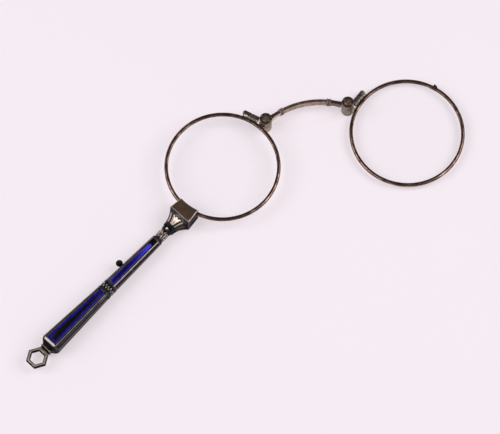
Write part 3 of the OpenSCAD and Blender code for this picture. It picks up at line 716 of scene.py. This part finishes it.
def panel_outline(panel, inset):
    """A tapered panel's outline with round corners, drawn in by an inset."""
    x0, x1, w0, w1, r0, r1 = panel
    x0, x1 = x0 + inset, x1 - inset
    h0, h1 = w0 / 2 - inset, w1 / 2 - inset
    r0 = min(max(r0 - inset, 0.05), h0 * 0.98)
    r1 = min(max(r1 - inset, 0.05), h1 * 0.98)
    corners = [
        (x0 + r0, -h0 + r0, r0, 180), (x1 - r1, -h1 + r1, r1, 270),
        (x1 - r1, h1 - r1, r1, 0), (x0 + r0, h0 - r0, r0, 90),
    ]
    points = []
    for x, y, radius, start in corners:
        points += arc((x, y), radius, start, start + 90, 6)
    return points


def panel_loft(panel, steps, wrap=False):
    """A skin over a panel's outline at steps of (inset, height)."""
    rings = []
    for inset, z in steps:
        rings.append([Vector((x, y, z)) for x, y in panel_outline(panel, inset)])
    return loft(rings, wrap=wrap)


def panels(side, word):
    """Blue enamel, dark inlay and a thin dark bezel on one face of the case."""
    lower = face_frame(CASE_FOOT_S, BAND_FOOT_S, side)
    upper = face_frame(BAND_TOP_S, CASE_TOP_S, side)
    border = LOWER_BORDER
    frame_steps = ((0.0, -0.12), (0.0, 0.01), (0.08, 0.045), (border - 0.06, 0.05))
    frame_steps += ((border, 0.03), (border, -0.12))
    inlay_steps = ((border, -0.12), (border, 0.02), (border + 0.06, 0.045))
    plain_steps = ((0.0, -0.12), (0.0, 0.01), (0.07, 0.045))
    raised_steps = ((0.0, 0.0), (0.0, 0.05), (0.04, 0.062))
    bezel_steps = ((0.0, -0.08), (0.0, 0.05), (-0.05, 0.075), (-0.11, 0.06), (-0.14, 0.0), (-0.14, -0.08))
    for name, node, material, panel, steps in (
        ("_blue_lower", "_enamel_lower", BLUE, LOWER_PANEL, frame_steps),
        ("_dark_lower", "_inlay_lower", DARK, LOWER_PANEL, inlay_steps),
        ("_blue_upper", "_enamel_upper", BLUE, UPPER_PANEL, plain_steps),
        ("_dark_upper", "_inlay_upper", DARK, UPPER_INLAY, raised_steps),
    ):
        skin = panel_loft(panel, steps, wrap=steps is frame_steps)
        place = lower if panel is LOWER_PANEL else upper
        new_piece(word + name, skin, material, word + node, place=place)
    for panel, place, part in ((LOWER_PANEL, lower, "lower"), (UPPER_PANEL, upper, "upper")):
        bezel = panel_loft(panel, bezel_steps, wrap=True)
        new_piece(word + "_bezel_" + part, bezel, CASE_METAL, place=place)


def face_spots(s):
    """Middle, outward and sideways vectors and width of each face of the case at a place."""
    corners = octagon(case_sizes(s))
    spots = []
    for k, corner in enumerate(corners):
        after = corners[(k + 1) % 8]
        middle = (corner + after) / 2
        side = (after - corner).normalized()
        out = Vector((side.y, -side.x))
        if out.dot(middle) < 0:
            out = -out
        spots.append((
            Vector((s, middle.x, middle.y)), Vector((0, out.x, out.y)),
            Vector((0, side.x, side.y)), (after - corner).length,
        ))
    return spots


def middle_band():
    """Two moulded edges with a row of small beads each, and a zigzag round the middle."""
    length = BAND_TOP_S - BAND_FOOT_S
    steps = [
        (0.0, -0.02), (0.02, 0.1), (0.3, 0.12), (0.42, -0.04), (length - 0.42, -0.04),
        (length - 0.3, 0.12), (length - 0.02, 0.1), (length, -0.02),
    ]
    bm = loft([case_ring(BAND_FOOT_S + along, 0.1, grow=grow) for along, grow in steps])
    x_axis = Vector((1, 0, 0))
    for row in (0.62, length - 0.62):
        for middle, out, side, width in face_spots(BAND_FOOT_S + row):
            count = max(2, round(width / 0.36))
            for i in range(count):
                spot = middle + side * (width * ((i + 0.5) / count - 0.5))
                add_blob(bm, spot, x_axis * 0.13, side * 0.13, out * 0.13, 1)
    for middle, out, side, width in face_spots(BAND_FOOT_S + length / 2):
        count = 2 * max(1, round(width / 1.1))
        step = width / count
        for i in range(count):
            lean = atan2(step, 1.3) * (1 if i % 2 else -1)
            along = x_axis * cos(lean) + side * sin(lean)
            across = side * cos(lean) - x_axis * sin(lean)
            spot = middle + side * (step * (i + 0.5) - width / 2)
            add_blob(bm, spot, along * 0.72, across * 0.12, out * 0.14, metal_index=1)
    new_piece("middle_band", bm, (CASE_METAL, BAND_METAL), "mid_band")


def handle_end():
    """The sloped cap from the case's foot to the ring's collar, with a painted highlight on the front and
    back faces of the bevel at its start.
    """
    foot = case_sizes(CASE_FOOT_S)
    places = [(0.0, 0.0, -0.1), (0.55, 0.17, -0.05), (0.62, 0.21, -0.05), (1.1, 0.6, 0.0)]
    places += [(1.5, 0.86, 0.0), (1.9, 1.0, 0.0)]
    rings = []
    for along, share, grow in places:
        rings.append(stand(CASE_FOOT_S - along, outline(mix(foot, CAP_END, share), 0.12, (), grow)))
    _, flats = strips(())
    # Painted highlight on the first row's front and back faces
    bm = loft(rings, paint=lambda row, column: int(row == 0 and flats[column]))
    new_piece("cap", bm, (CASE_METAL, HIGHLIGHT_METAL), "end_cap", sharp=24)


def rounded_box(width, height, radius):
    """A rectangle's outline with round corners."""
    points = []
    for x, y, start in ((1, 1, 0), (-1, 1, 90), (-1, -1, 180), (1, -1, 270)):
        centre = (x * (width / 2 - radius), y * (height / 2 - radius))
        points += arc(centre, radius, start, start + 90, 4)
    return points


def hanging_ring():
    """A collar and a hexagonal ring of bevelled bars, their flats painted light as a highlight against
    dark sides, with painted highlights on two of the collar's mouldings.
    """
    bm = bmesh.new()
    outer = RING_R * cos(radians(30))
    inner = outer - RING_BAR
    half = RING_T / 2
    section = [(inner, half - 0.4), (inner + 0.32, half), (outer - 0.36, half), (outer, half - 0.45)]
    section += below(section)
    stretch = 1 / cos(radians(30))
    turns = [radians(90 + 60 * i) for i in range(7)]
    ways = [Vector((cos(turn), sin(turn), 0)) for turn in turns]
    rings = []
    for way, after in zip(ways, ways[1:]):
        for share in (0.0, 0.05, 0.5, 0.95):
            toward = way.lerp(after, share)
            rings.append([toward * (reach * stretch) + Vector((0, 0, z)) for reach, z in held(section)])
    hexagon = loft(rings, wrap=True)
    hexagon.normal_update()
    for face in hexagon.faces:
        # Painted highlight: the flat faces take the lighter metal, the sides stay dark
        face.material_index = int(abs(face.normal.z) > 0.9)
    add(bm, hexagon, Matrix.Translation((RING_S, 0, 0)))
    collar = []
    steps = [
        (0.0, 3.5, 2.8), (0.1, 3.85, 3.15), (0.35, 3.9, 3.2), (0.5, 3.5, 2.7),
        (0.75, 3.3, 2.2), (1.0, 3.5, 1.7), (1.25, 3.6, 1.3),
    ]
    for along, width, height in steps:
        collar.append(stand(CAP_END_S - along, rounded_box(width, height, 0.25)))
    # Painted highlights on two of the collar's mouldings
    add(bm, loft(collar, paint=lambda row, column: 2 if row in (1, 5) else 0))
    metals = (CASE_METAL, HIGHLIGHT_METAL, LEAF_METAL)
    new_piece("hanging_ring", bm, metals, "ring_eye", bevel=RING_BEVEL)


# Ferrule and neck
def bead(z, radius, size):
    """A round moulding on a turned profile."""
    return arc((radius, z), size, -80, 80, 6)


def leaf(bm, round_at, lean, length, width, radius):
    """A pointed leaf with a midrib, bent round the ferrule."""
    long_steps, wide_steps = 14, 8
    rows = []
    for i in range(long_steps + 1):
        u = -1 + 2 * i / long_steps
        half = width / 2 * max(0.0, 1 - u * u) ** 0.8
        row = []
        for j in range(wide_steps + 1):
            v = -1 + 2 * j / wide_steps
            along = u * length / 2 * cos(lean) - v * half * sin(lean)
            across = u * length / 2 * sin(lean) + v * half * cos(lean)
            lift = 0.3 * (1 - v * v) * (1 - 0.5 * u * u) - 0.14 * exp(-((v / 0.22) ** 2)) - 0.04
            turn = round_at + across / radius
            reach = radius + lift
            row.append(bm.verts.new((LEAF_S + along, reach * sin(turn), reach * cos(turn))))
        rows.append(row)
    for low, high in zip(rows, rows[1:]):
        for j in range(wide_steps):
            face = bm.faces.new((low[j], low[j + 1], high[j + 1], high[j]))
            face.material_index = 1


def ferrule():
    """A turned socket with moulded rings and crossed cast leaves."""
    profile = [(0.5, 0.0), (1.82, 0.0), (1.92, 0.1), (1.92, 0.42), (1.7, 0.52)]
    profile += bead(0.78, 1.66, 0.22) + [(1.54, 1.04)]
    profile += [(1.5, 2.6), (1.52, 4.35)] + bead(4.6, 1.58, 0.2) + [(1.55, 4.85)]
    profile += bead(5.2, 1.66, 0.3) + [(1.7, 5.6), (0.5, 5.6)]
    bm = revolve(profile, 64)
    bm.transform(Matrix.Translation((CASE_TOP_S, 0, 0)) @ Z_TO_X)
    for k in range(4):
        round_at = pi / 2 * k
        leaf(bm, round_at, 0.5, 3.7, 0.88, 1.53)
        leaf(bm, round_at, -0.5, 3.7, 0.88, 1.57)
        leaf(bm, round_at + pi / 4, 0.0, 3.0, 0.6, 1.5)
    for side in (1, -1):
        spot = Vector((FERRULE_S - 0.35, 0, side * 1.98))
        axes = (Vector((0.42, 0, 0)), Vector((0, 0.42, 0)), Vector((0, 0, 0.36)))
        add_blob(bm, spot, *axes, metal_index=1)
    bmesh.ops.remove_doubles(bm, verts=bm.verts, dist=1e-4)
    new_piece("leaf_ferrule", bm, (CASE_METAL, LEAF_METAL), "ferrule", sharp=40)


def flare(head, share):
    """Half size of the neck at a share of its length, along a hollow curve."""
    length, rise = NECK_S - FERRULE_S, head - NECK_FOOT
    radius = (length * length + rise ** 2) / (2 * rise)
    return NECK_FOOT + radius - sqrt(radius * radius - (length * share) ** 2)


def flute_depth(u, v, half):
    """How deep the neck's face is cut at a share of its length and across its half width."""
    from_edge = half * (1 - abs(v))
    outer = (from_edge - FLUTE_RIB) / FLUTE_W
    inner_half = half - 2 * FLUTE_RIB - FLUTE_W
    across = v * half / inner_half
    if 0 < outer < 1:
        shape, stop = sin(pi * outer) ** 0.6, 0.84
    elif abs(across) < 1:
        lobe = abs(sin(1.5 * pi * (across + 1)))
        shape = (1 - across ** 6) * (1 - 0.35 * exp(-((across / 0.16) ** 2)) * (1 - u))
        stop = 0.78 + 0.1 * lobe
    else:
        return 0.0
    fade = min(1.0, max(0.0, (stop - u) / 0.035)) * min(1.0, max(0.0, (u - 0.1) / 0.08))
    return FLUTE_D * shape * fade


def neck_section(u, w, h, fluted=True):
    """A square section of the neck with its flutes, or a plain one."""
    points = []
    for side in range(4):
        half, reach = (w, h) if side % 2 == 0 else (h, w)
        for j in range(NECK_ACROSS):
            v = -1 + 2 * (j + 0.5) / NECK_ACROSS
            x, y = v * half, reach
            if fluted:
                y -= flute_depth(u, v, half) + 0.12 * max(0.0, (abs(v) - 0.94) / 0.06) ** 2
            points.append(((x, y), (y, -x), (-x, -y), (-y, x))[side])
    return stand(FERRULE_S + (NECK_S - FERRULE_S) * u, points)


def neck():
    """A flared neck with a wide three-lobed flute between two narrow ones on each side.

    Inside are the rod's bore and the room the catch's hook slides into.
    """
    steps = 84
    rings = []
    for i in range(steps + 1):
        u = i / steps
        rings.append(neck_section(u, flare(NECK_HEAD_W, u), flare(NECK_HEAD_H, u)))
    for u, w, h in (
        (1.0, ROOM_W, ROOM_H), (ROOM_FROM, ROOM_W, ROOM_H), (ROOM_FROM, BORE_R, BORE_R),
        (0.0, BORE_R, BORE_R),
    ):
        rings.append(neck_section(u, w, h, fluted=False))

    def paint(row, column):
        """Painted highlight in the flutes: a light metal in the front and back ones, and a duller one in
        those on the sides.
        """
        side, j = divmod(column, NECK_ACROSS)
        u, v = (row + 0.5) / steps, -1 + 2 * (j + 1) / NECK_ACROSS
        half = flare(NECK_HEAD_H if side % 2 else NECK_HEAD_W, u)
        if not 0.3 < u < 1 or flute_depth(u, v, half) < FLUTE_D * 0.55:
            return 0
        return 2 if side % 2 else 1

    bm = loft(rings, wrap=True, paint=paint)
    neck_metals = (NECK_METAL, HIGHLIGHT_METAL, BAND_METAL)
    new_piece("fluted_neck", bm, neck_metals, "flared_neck", sharp=60)


def head_block():
    """The catch's housing, softened: flat faces are joined, then the edges get a narrow bevel."""
    bm = bmesh.new()
    bm.from_mesh(frame["nodes"]["catch_housing"].data)
    bmesh.ops.remove_doubles(bm, verts=bm.verts, dist=1e-6)
    bmesh.ops.dissolve_limit(bm, angle_limit=radians(1.5), verts=bm.verts, edges=bm.edges)
    bm.transform(Matrix.Scale(1 / MM, 4))
    for face in bm.faces:
        # Painted light by facing: flat tops keep the brown head metal, steep sides get the darker neck
        # metal as painted shade, and the slopes get the lighter metal as a painted highlight
        face.material_index = 2 if 0.35 < abs(face.normal.z) < 0.9 else int(abs(face.normal.z) < 0.35)
    metals = (HEAD_METAL, NECK_METAL, HIGHLIGHT_METAL)
    new_piece("head_block", bm, metals, "catch_housing", place=Matrix(), bevel=0.06, highlight_edges=True)


# Rims and glass
def rim_profile():
    """Section of the round wire with its groove, as (radius, height)."""
    half = RIM_H / 2
    outside = arc((RIM_R - half, 0), half, -88, 88, 20)
    top = arc((LENS_R + 0.3, half - 0.3), 0.3, 92, 176, 6)
    groove = [(LENS_R, GROOVE_H / 2), (LENS_R + GROOVE_D, 0), (LENS_R, -GROOVE_H / 2)]
    return outside + top + groove + below(top)


def rim(name, node, body, place, split_at):
    """The wire, open by a hair where the closing tubes pull it shut."""
    profile = rim_profile()
    gap = 0.15 / RIM_R
    segments = 240
    rings = []
    for i in range(segments + 1):
        rings.append(spun(profile, split_at + gap / 2 + (2 * pi - gap) * i / segments))
    new_piece(name, loft(rings), RIM_METAL, node, body, place, sharp=38)


def glass(name, node, body, place):
    """A ground lens with its edge bevelled into the rim's groove."""
    sag = (LENS_T - GROOVE_H) / 2
    curve = (LENS_R ** 2 + sag ** 2) / (2 * sag)
    top = []
    for i in range(25):
        r = LENS_R * i / 24
        top.append((r, LENS_T / 2 - curve + sqrt(curve * curve - r * r)))
    edge = [(LENS_R + GROOVE_D - 0.04, 0.0)]
    new_piece(name, revolve(top + edge + below(top), 144), GLASS, node, body, place)


def slotted_head(radius, foot_z, seat_z, top_z, slot):
    """A domed screw head in two halves over a slot's floor."""
    bm = bmesh.new()
    for side in (0, pi):
        rings = []
        for i in range(7):
            rise = i / 6
            r = radius * (1 - 0.32 * rise ** 2.6)
            z = seat_z + (top_z - seat_z) * sin(rise * pi / 2)
            turn = degrees(asin(min(0.99, slot / 2 / r)))
            rings.append([(x, y, z) for x, y in arc((0, 0), r, turn, 180 - turn, 24)])
        add(bm, loft(rings), Matrix.Rotation(side, 4, "Z"))
    add(bm, rod(radius * 0.98, foot_z, seat_z + 0.08, 48))
    return bm


# Hinges
def knuckle_wall(low, high, grooves):
    """Outside of a turned knuckle from its foot up, with fine ring grooves."""
    middle, deep = KNUCKLE_R - KNUCKLE_EDGE, KNUCKLE_R - 0.09
    points = arc((middle, low + KNUCKLE_EDGE), KNUCKLE_EDGE, -90, 0, 5)
    for z in grooves:
        points += [(KNUCKLE_R, z - 0.1), (deep, z - 0.03), (deep, z + 0.03), (KNUCKLE_R, z + 0.1)]
    return points + arc((middle, high - KNUCKLE_EDGE), KNUCKLE_EDGE, 0, 90, 5)


def upper_knuckle():
    low, high = KNUCKLE_H + KNUCKLE_GAP, STACK_H
    profile = [(WELL_R, low)] + knuckle_wall(low, high, (low + 0.45, high - 0.5))
    seat = HEAD_SEAT - 0.06
    profile += [(HEAD_R + 0.12, high), (HEAD_R + 0.06, high - 0.08), (HEAD_R + 0.06, seat)]
    profile += [(PIN_R + 0.06, seat), (PIN_R + 0.06, low + WELL_H), (WELL_R, low + WELL_H)]
    return revolve(held(profile), 72)


def sheen_and_stain_wall(bm):
    """The second metal on a knuckle's outer wall, below its top edge: a stained metal, lighter than the
    dark top, as a painted highlight on the wall.
    """
    for face in bm.faces:
        middle = face.calc_center_median()
        on_wall = hypot(middle.x, middle.y) > KNUCKLE_R - 0.16
        face.material_index = int(on_wall and middle.z < STACK_H - 0.1)


def lower_knuckle():
    profile = [(PIN_R, 0.0)] + knuckle_wall(0.0, KNUCKLE_H, (0.5, KNUCKLE_H - 0.45))
    profile += [(PIN_R, KNUCKLE_H)]
    return revolve(held(profile), 72)


def rim_arm(rim_z, low, high):
    """The soldered arm between a knuckle and its rim, spread at both ends. The rim is to the left."""
    rings = []
    for i in range(13):
        share = i / 12
        x = -(HINGE_REACH - RIM_R + 0.35) + (HINGE_REACH - RIM_R + 0.35 - KNUCKLE_R + 0.12) * share
        spread = (2 * share - 1) ** 2
        width = ARM_W * (0.78 + 0.3 * spread)
        tall = RIM_H * 0.62 + (high - low) * 0.16 * spread * share
        ring_points = rounded_box(width, tall, 0.22)
        middle = rim_z + ((low + high) / 2 - rim_z) * 0.25 * share
        bow = 0.02 * width * width
        section = []
        for across, up in ring_points:
            curve = bow * (1 - share) * (across / width * 2) ** 2
            section.append(Vector((x - curve, across, middle + up)))
        rings.append(section)
    return loft(rings)


def hinge(number):
    """Both knuckles, the arm to the rim and the screw of one hinge."""
    at = Matrix() if number == 1 else AT_HINGE_2
    arm_turn = Matrix.Rotation(HINGE_ANGLE, 4, "Z")
    upper, lower = upper_knuckle(), lower_knuckle()
    sheen_and_stain_wall(upper)
    upper_metals = (KNUCKLE_METAL, STAINED_METAL)
    if number == 1:
        arm = rim_arm(MID_Z + LENS_LEVEL, KNUCKLE_H + KNUCKLE_GAP, STACK_H)
        add(upper, arm, arm_turn)
        new_piece("upper_knuckle_1", upper, upper_metals, "hinge_knuckle_1", place=at)
        new_piece("lower_knuckle_1", lower, TAN_METAL, "bridge_knuckle_1", "bridge", at)
    else:
        arm = rim_arm(MID_Z - LENS_LEVEL, 0.0, KNUCKLE_H)
        add(lower, arm, arm_turn)
        new_piece("upper_knuckle_2", upper, upper_metals, "bridge_knuckle_2", "bridge", at)
        new_piece(
            "lower_knuckle_2", lower, STAINED_METAL, "hinge_knuckle_2", "lens_2_frame", at @ MIRROR_X
        )
    screw = slotted_head(HEAD_R, HEAD_SEAT, HEAD_SEAT, STACK_H - 0.06, 0.16)
    add(screw, rod(PIN_R - 0.01, 0.0, HEAD_SEAT + 0.02, 40))
    turn = Matrix.Rotation(radians(70 if number == 1 else 20), 4, "Z")
    body = "bridge" if number == 1 else "lens_2_frame"
    node = "hinge_pin_" + str(number)
    new_piece("hinge_screw_" + str(number), screw, SCREW_METAL, node, body, at @ turn)


def closing_tubes():
    """Two half tubes side by side."""
    tubes = bmesh.new()
    half = TUBE_L / 2 - 0.08
    for side in (-1, 1):
        low = 0.08 if side > 0 else -0.08 - half
        profile = [(0.42, 0.0), (TUBE_R - 0.1, 0.0), (TUBE_R, 0.1), (TUBE_R, half - 0.25)]
        profile += [(TUBE_R - 0.06, half - 0.2), (TUBE_R, half - 0.12)]
        profile += [(TUBE_R - 0.08, half), (0.42, half)]
        tube = revolve(held(profile, 0.08), 40)
        if side < 0:
            tube.transform(Matrix.Translation((0, 0, half)) @ Matrix.Diagonal((1, 1, -1, 1)))
        add(tubes, tube, Matrix.Translation((TUBE_CENTRE_R, low, 0)) @ Z_TO_Y)
    return tubes


def closing_feet(number):
    """The solder that holds the tubes to the rim, a little uneven."""
    feet = bmesh.new()
    for side in (-1, 1):
        rings = []
        for i in range(9):
            y = side * (0.1 + (TUBE_L / 2 - 0.2) * i / 8)
            rim_x = sqrt((RIM_R - 0.12) ** 2 - y * y)
            wave = 0.06 * sin(2.3 * i + number)
            section = [
                (rim_x, -0.55), (rim_x, 0.55 + wave), (RIM_R + 0.16, 0.62 + wave),
                (RIM_R + 0.5, 0.74), (RIM_R + 0.72, 0.6), (RIM_R + 0.72, -0.6), (RIM_R + 0.3, -0.62),
            ]
            rings.append([Vector((x, y, z)) for x, z in section])
        add(feet, loft(rings))
    return feet


def closing(number):
    """The tubes beside a rim, their feet, and the screw that pulls them together."""
    at = AT_LENS_1 if number == 1 else AT_LENS_2 @ MIRROR_X
    place = at @ Matrix.Rotation(TUBE_ANGLE, 4, "Z")
    body = "handle" if number == 1 else "lens_2_frame"
    end = "_" + str(number)
    new_piece("closing_tube" + end, closing_tubes(), TUBE_METAL, "closing_tubes" + end, body, place)
    feet = closing_feet(number)
    new_piece("closing_feet" + end, feet, GREEN_METAL, None, body, place, sharp=50, bevel=0.05)
    screw = slotted_head(0.66, -0.05, 0.0, 0.34, 0.2)
    add(screw, rod(0.4, -TUBE_L, 0.02, 32))
    place = place @ Matrix.Translation((TUBE_CENTRE_R, TUBE_L / 2, 0)) @ Z_TO_Y
    new_piece("closing_bolt" + end, screw, SCREW_METAL, "closing_screw" + end, body, place)


# Bridge
def arc_ring(turn, section):
    """Stands a section of (radius, height) points up on the bridge's arc."""
    return [
        BRIDGE_CENTRE + Vector((r * sin(turn), r * cos(turn), z)) for r, z in section
    ]


def strip_section(cut, grow=0.0):
    """Section of the strip. The outer edges are cut back by the milling."""
    inner, outer = BRIDGE_R - BRIDGE_W / 2 - grow, BRIDGE_R + BRIDGE_W / 2 + grow
    half = BRIDGE_H / 2 + grow
    return [
        (inner, -half + 0.12), (inner, -half + 0.25), (inner, half - 0.2), (inner, half - 0.08),
        (inner + 0.08, half), (inner + 0.18, half), (outer - 0.52, half), (outer - 0.45, half),
        (outer - 0.4, half - cut), (outer - cut * 0.6, half - 0.12 - cut),
        (outer, half - 0.42), (outer, -half + 0.42),
        (outer - cut * 0.6, -half + 0.12 + cut), (outer - 0.4, -half + cut),
        (outer - 0.45, -half), (inner + 0.12, -half),
    ]


def end_turn(clear):
    """Angle on the arc at which the strip comes within a distance of a hinge's axis."""
    hinge_r = hypot(HINGE_2.x / 2, BRIDGE_CENTRE.y)
    hinge_turn = asin(HINGE_2.x / 2 / hinge_r)
    near = (BRIDGE_R ** 2 + hinge_r ** 2 - clear ** 2) / (2 * BRIDGE_R * hinge_r)
    return hinge_turn - acos(min(1.0, near))


def arm_half(side, low, high, stop):
    """Upper or lower half of the slim arm from a collar to a hinge."""
    start = asin(COLLAR_X / BRIDGE_R)
    rings = []
    steps = 18
    for i in range(steps + 1):
        share = i / steps
        turn = side * (start + (stop - start) * share)
        waist = sin(pi * min(1.0, share * 1.15)) if share < 0.87 else 0.0
        knob = exp(-(((share - 0.16) / 0.07) ** 2))
        flared = max(0.0, (share - 0.55) / 0.45) ** 2
        half = BRIDGE_END_W / 2 * (1.32 - 0.08 * waist + 0.2 * knob + 0.3 * flared)
        scale = 1 - 0.08 * waist + 0.05 * knob
        near, far, foot, top = BRIDGE_R - half, BRIDGE_R + half, low * scale, high * scale
        section = [
            (near, foot), (far, foot), (far, top - 0.08), (far - 0.08, top),
            (far - 0.18, top), (near + 0.18, top), (near + 0.08, top), (near, top - 0.08),
        ]
        rings.append(arc_ring(turn, section))
    # Painted highlight: the inner wall of the left arm takes the tan metal, where that of the right arm
    # stays dark
    inner = 1 if side < 0 else 2
    return loft(rings, paint=lambda row, column: inner if column == 7 else 2)


def bridge():
    """The milled strip between the collars and the two slim arms."""
    collar_turn = asin(COLLAR_X / BRIDGE_R)
    rings = []
    teeth = 46
    for i in range(teeth * 4 + 1):
        turn = collar_turn * (-1 + 2 * i / (teeth * 4))
        cut = 0.02 if i % 4 in (0, 1) else 0.13
        rings.append(arc_ring(turn, strip_section(cut)))
    bm = loft(rings, paint=lambda row, column: 1 if column < 3 else 0)
    half_z = BRIDGE_END_H / 2
    free = KNUCKLE_R + BRIDGE_CLEAR + 0.03
    joined = KNUCKLE_R - 0.1
    split = KNUCKLE_GAP / 2
    for side, low_clear, high_clear in ((-1, joined, free), (1, free, joined)):
        add(bm, arm_half(side, -half_z, split * side, end_turn(low_clear)))
        add(bm, arm_half(side, split * side, half_z, end_turn(high_clear)))
    metals = (BRIDGE_METAL, TAN_METAL, TUBE_METAL)
    new_piece("bridge_strip", bm, metals, "bridge_arch", "bridge", Matrix(), sharp=30)


def collars():
    """A double moulding round each end of the strip."""
    bm = bmesh.new()
    collar_turn = asin(COLLAR_X / BRIDGE_R)
    steps = [
        (-0.7, 0.02), (-0.62, 0.16), (-0.45, 0.21), (-0.22, 0.18), (-0.1, 0.06), (0.1, 0.06),
        (0.22, 0.18), (0.45, 0.21), (0.62, 0.16), (0.7, 0.02),
    ]
    for side in (-1, 1):
        rings = []
        for along, grow in steps:
            turn = side * collar_turn + along / BRIDGE_R
            rings.append(arc_ring(turn, strip_section(0.02, grow)))
        add(bm, loft(rings))
    new_piece("bridge_mouldings", bm, BRIDGE_METAL, "bridge_collars", "bridge", Matrix(), sharp=45)


# Slider
def button():
    """A ball on a short stem with a small turned neck."""
    reach = case_sizes(BUTTON_S)[0] / 2 + 0.12 + BUTTON_R
    profile = arc((0, 0), BUTTON_R, -90, 62, 22)
    profile += [(0.5, 1.03), (0.42, 1.06), (0.4, 1.2), (0.39, reach), (0.0, reach)]
    bm = revolve(profile, 56)
    place = HANDLE @ Matrix.Translation((BUTTON_S, reach, 0)) @ Matrix.Rotation(pi / 2, 4, "X")
    new_piece("slider_ball", bm, CASE_METAL, "slider_button", "catch", place)


lower_case()
upper_case()
panels(1, "front")
panels(-1, "back")
middle_band()
handle_end()
hanging_ring()
ferrule()
neck()
head_block()
rim("rim_wire_1", "rim_1", "handle", AT_LENS_1, TUBE_ANGLE)
rim("rim_wire_2", "rim_2", "lens_2_frame", AT_LENS_2, pi - TUBE_ANGLE)
glass("glass_1", "lens_1", "handle", AT_LENS_1)
glass("glass_2", "lens_2", "lens_2_frame", AT_LENS_2)
for number in (1, 2):
    hinge(number)
    closing(number)
bridge()
collars()
button()
dress("catch_lug", RIM_METAL)
for node in ("slider_rod", "catch_hook", "catch_return_spring", "hinge_spring_1", "hinge_spring_2"):
    dress(node, STEEL)


# Floor, light and camera
FLOOR_COLOUR = (0.935, 0.852, 0.91)
FLOOR_COLOUR_2 = (0.945, 0.862, 0.918)
FLOOR_REACH = 1500
# Share of the paper's own colour, free of shadow, in what is seen of it
PAPER_SHARE = 0.5
WORLD_LIGHT = 1.0
LAMP_LIGHT = 5.1
LAMP_DISTANCE = 900
LAMP_SIZE = 640
LAMP_AIM = Vector((-10, -15, 0))
LEFT_LAMP = (-0.64, 0.04, 0.77)
RIGHT_LAMP = (0.62, -0.12, 0.77)
CAMERA_LENS = 216
CAMERA_SENSOR = 36
CAMERA_PLACE = Vector((-83.28, -361.63, 918.15))
CAMERA_FORWARD = Vector((0.0731, 0.3389, -0.9380))
CAMERA_RIGHT = Vector((0.9775, -0.2108, 0.0))


def floor():
    """A pale floor that holds the soft shadows."""
    bm = bmesh.new()
    bmesh.ops.create_grid(bm, x_segments=8, y_segments=8, size=FLOOR_REACH)
    bm.transform(Matrix.Scale(MM, 4) @ Matrix.Translation((0, 0, -0.01)))
    mesh = mesh_of("floor", bm)
    material, tree, principled, place = shader("paper")
    shade = ramp_of(tree, noise_of(tree, place, 6, 3.0), [(0.3, FLOOR_COLOUR), (0.7, FLOOR_COLOUR_2)])
    feed(tree, principled, {"Base Color": shade, "Roughness": 0.9, "Specular IOR Level": 0.0})
    path = node_of(tree, "LightPath").node
    seen = path.outputs["Is Camera Ray"]
    for kind in ("Is Glossy Ray", "Is Transmission Ray"):
        seen = math_of(tree, "MAXIMUM", seen, path.outputs[kind])
    share = range_of(tree, seen, 0.0, 1.0, 0.0, PAPER_SHARE)
    glow = node_of(tree, "Emission", {"Color": shade})
    surface_of(tree, share, principled.outputs["BSDF"], glow)
    mesh.materials.append(material)
    ground = put("floor", mesh)


def lamp(name, direction):
    """A square soft box that looks at the middle of the piece."""
    data = bpy.data.lights.new(name, "AREA")
    data.shape = "SQUARE"
    data.size = LAMP_SIZE * MM
    data.energy = LAMP_LIGHT
    box = put(name, data)
    toward = Vector(direction).normalized()
    box.location = (LAMP_AIM + toward * LAMP_DISTANCE) * MM
    box.rotation_mode = "QUATERNION"
    box.rotation_quaternion = toward.to_track_quat("Z", "Y")


def world():
    """A dim room: grey round the sides, dark overhead, and pale like the paper below."""
    room = bpy.data.worlds.new("room")
    room.use_nodes = True
    tree = room.node_tree
    toward = node_of(tree, "TexCoord", output="Generated")
    height = node_of(tree, "SeparateXYZ", {"Vector": toward}, "Z")
    sides = ramp_of(tree, range_of(tree, height, -1.0, 1.0), [
        (0.49, FLOOR_COLOUR), (0.53, (0.6, 0.59, 0.6)), (0.7, (0.5, 0.49, 0.5)),
        (0.84, (0.035, 0.035, 0.037)), (1.0, (0.01, 0.01, 0.011)),
    ])
    seams = range_of(tree, noise_of(tree, toward, 2.6, 1.0), 0.42, 0.58, 0.35, 1.0)
    sides = mix_of(tree, seams, (0.0, 0.0, 0.0), sides)
    feed(tree, tree.nodes["Background"], {"Color": sides, "Strength": WORLD_LIGHT})
    bpy.context.scene.world = room


def camera():
    """The photograph's viewpoint, a long lens that looks down from the front."""
    data = bpy.data.cameras.new("camera")
    data.lens = CAMERA_LENS
    data.sensor_width = CAMERA_SENSOR
    data.clip_start = 0.05
    data.clip_end = 20
    eye = put("camera", data)
    forward = CAMERA_FORWARD.normalized()
    right = (CAMERA_RIGHT - forward * CAMERA_RIGHT.dot(forward)).normalized()
    turn = Matrix((right, right.cross(forward), -forward)).transposed()
    eye.matrix_world = Matrix.Translation(CAMERA_PLACE * MM) @ turn.to_4x4()
    bpy.context.scene.camera = eye


floor()
lamp("left_box", LEFT_LAMP)
lamp("right_box", RIGHT_LAMP)
world()
camera()
bpy.context.scene.view_settings.view_transform = "Standard"
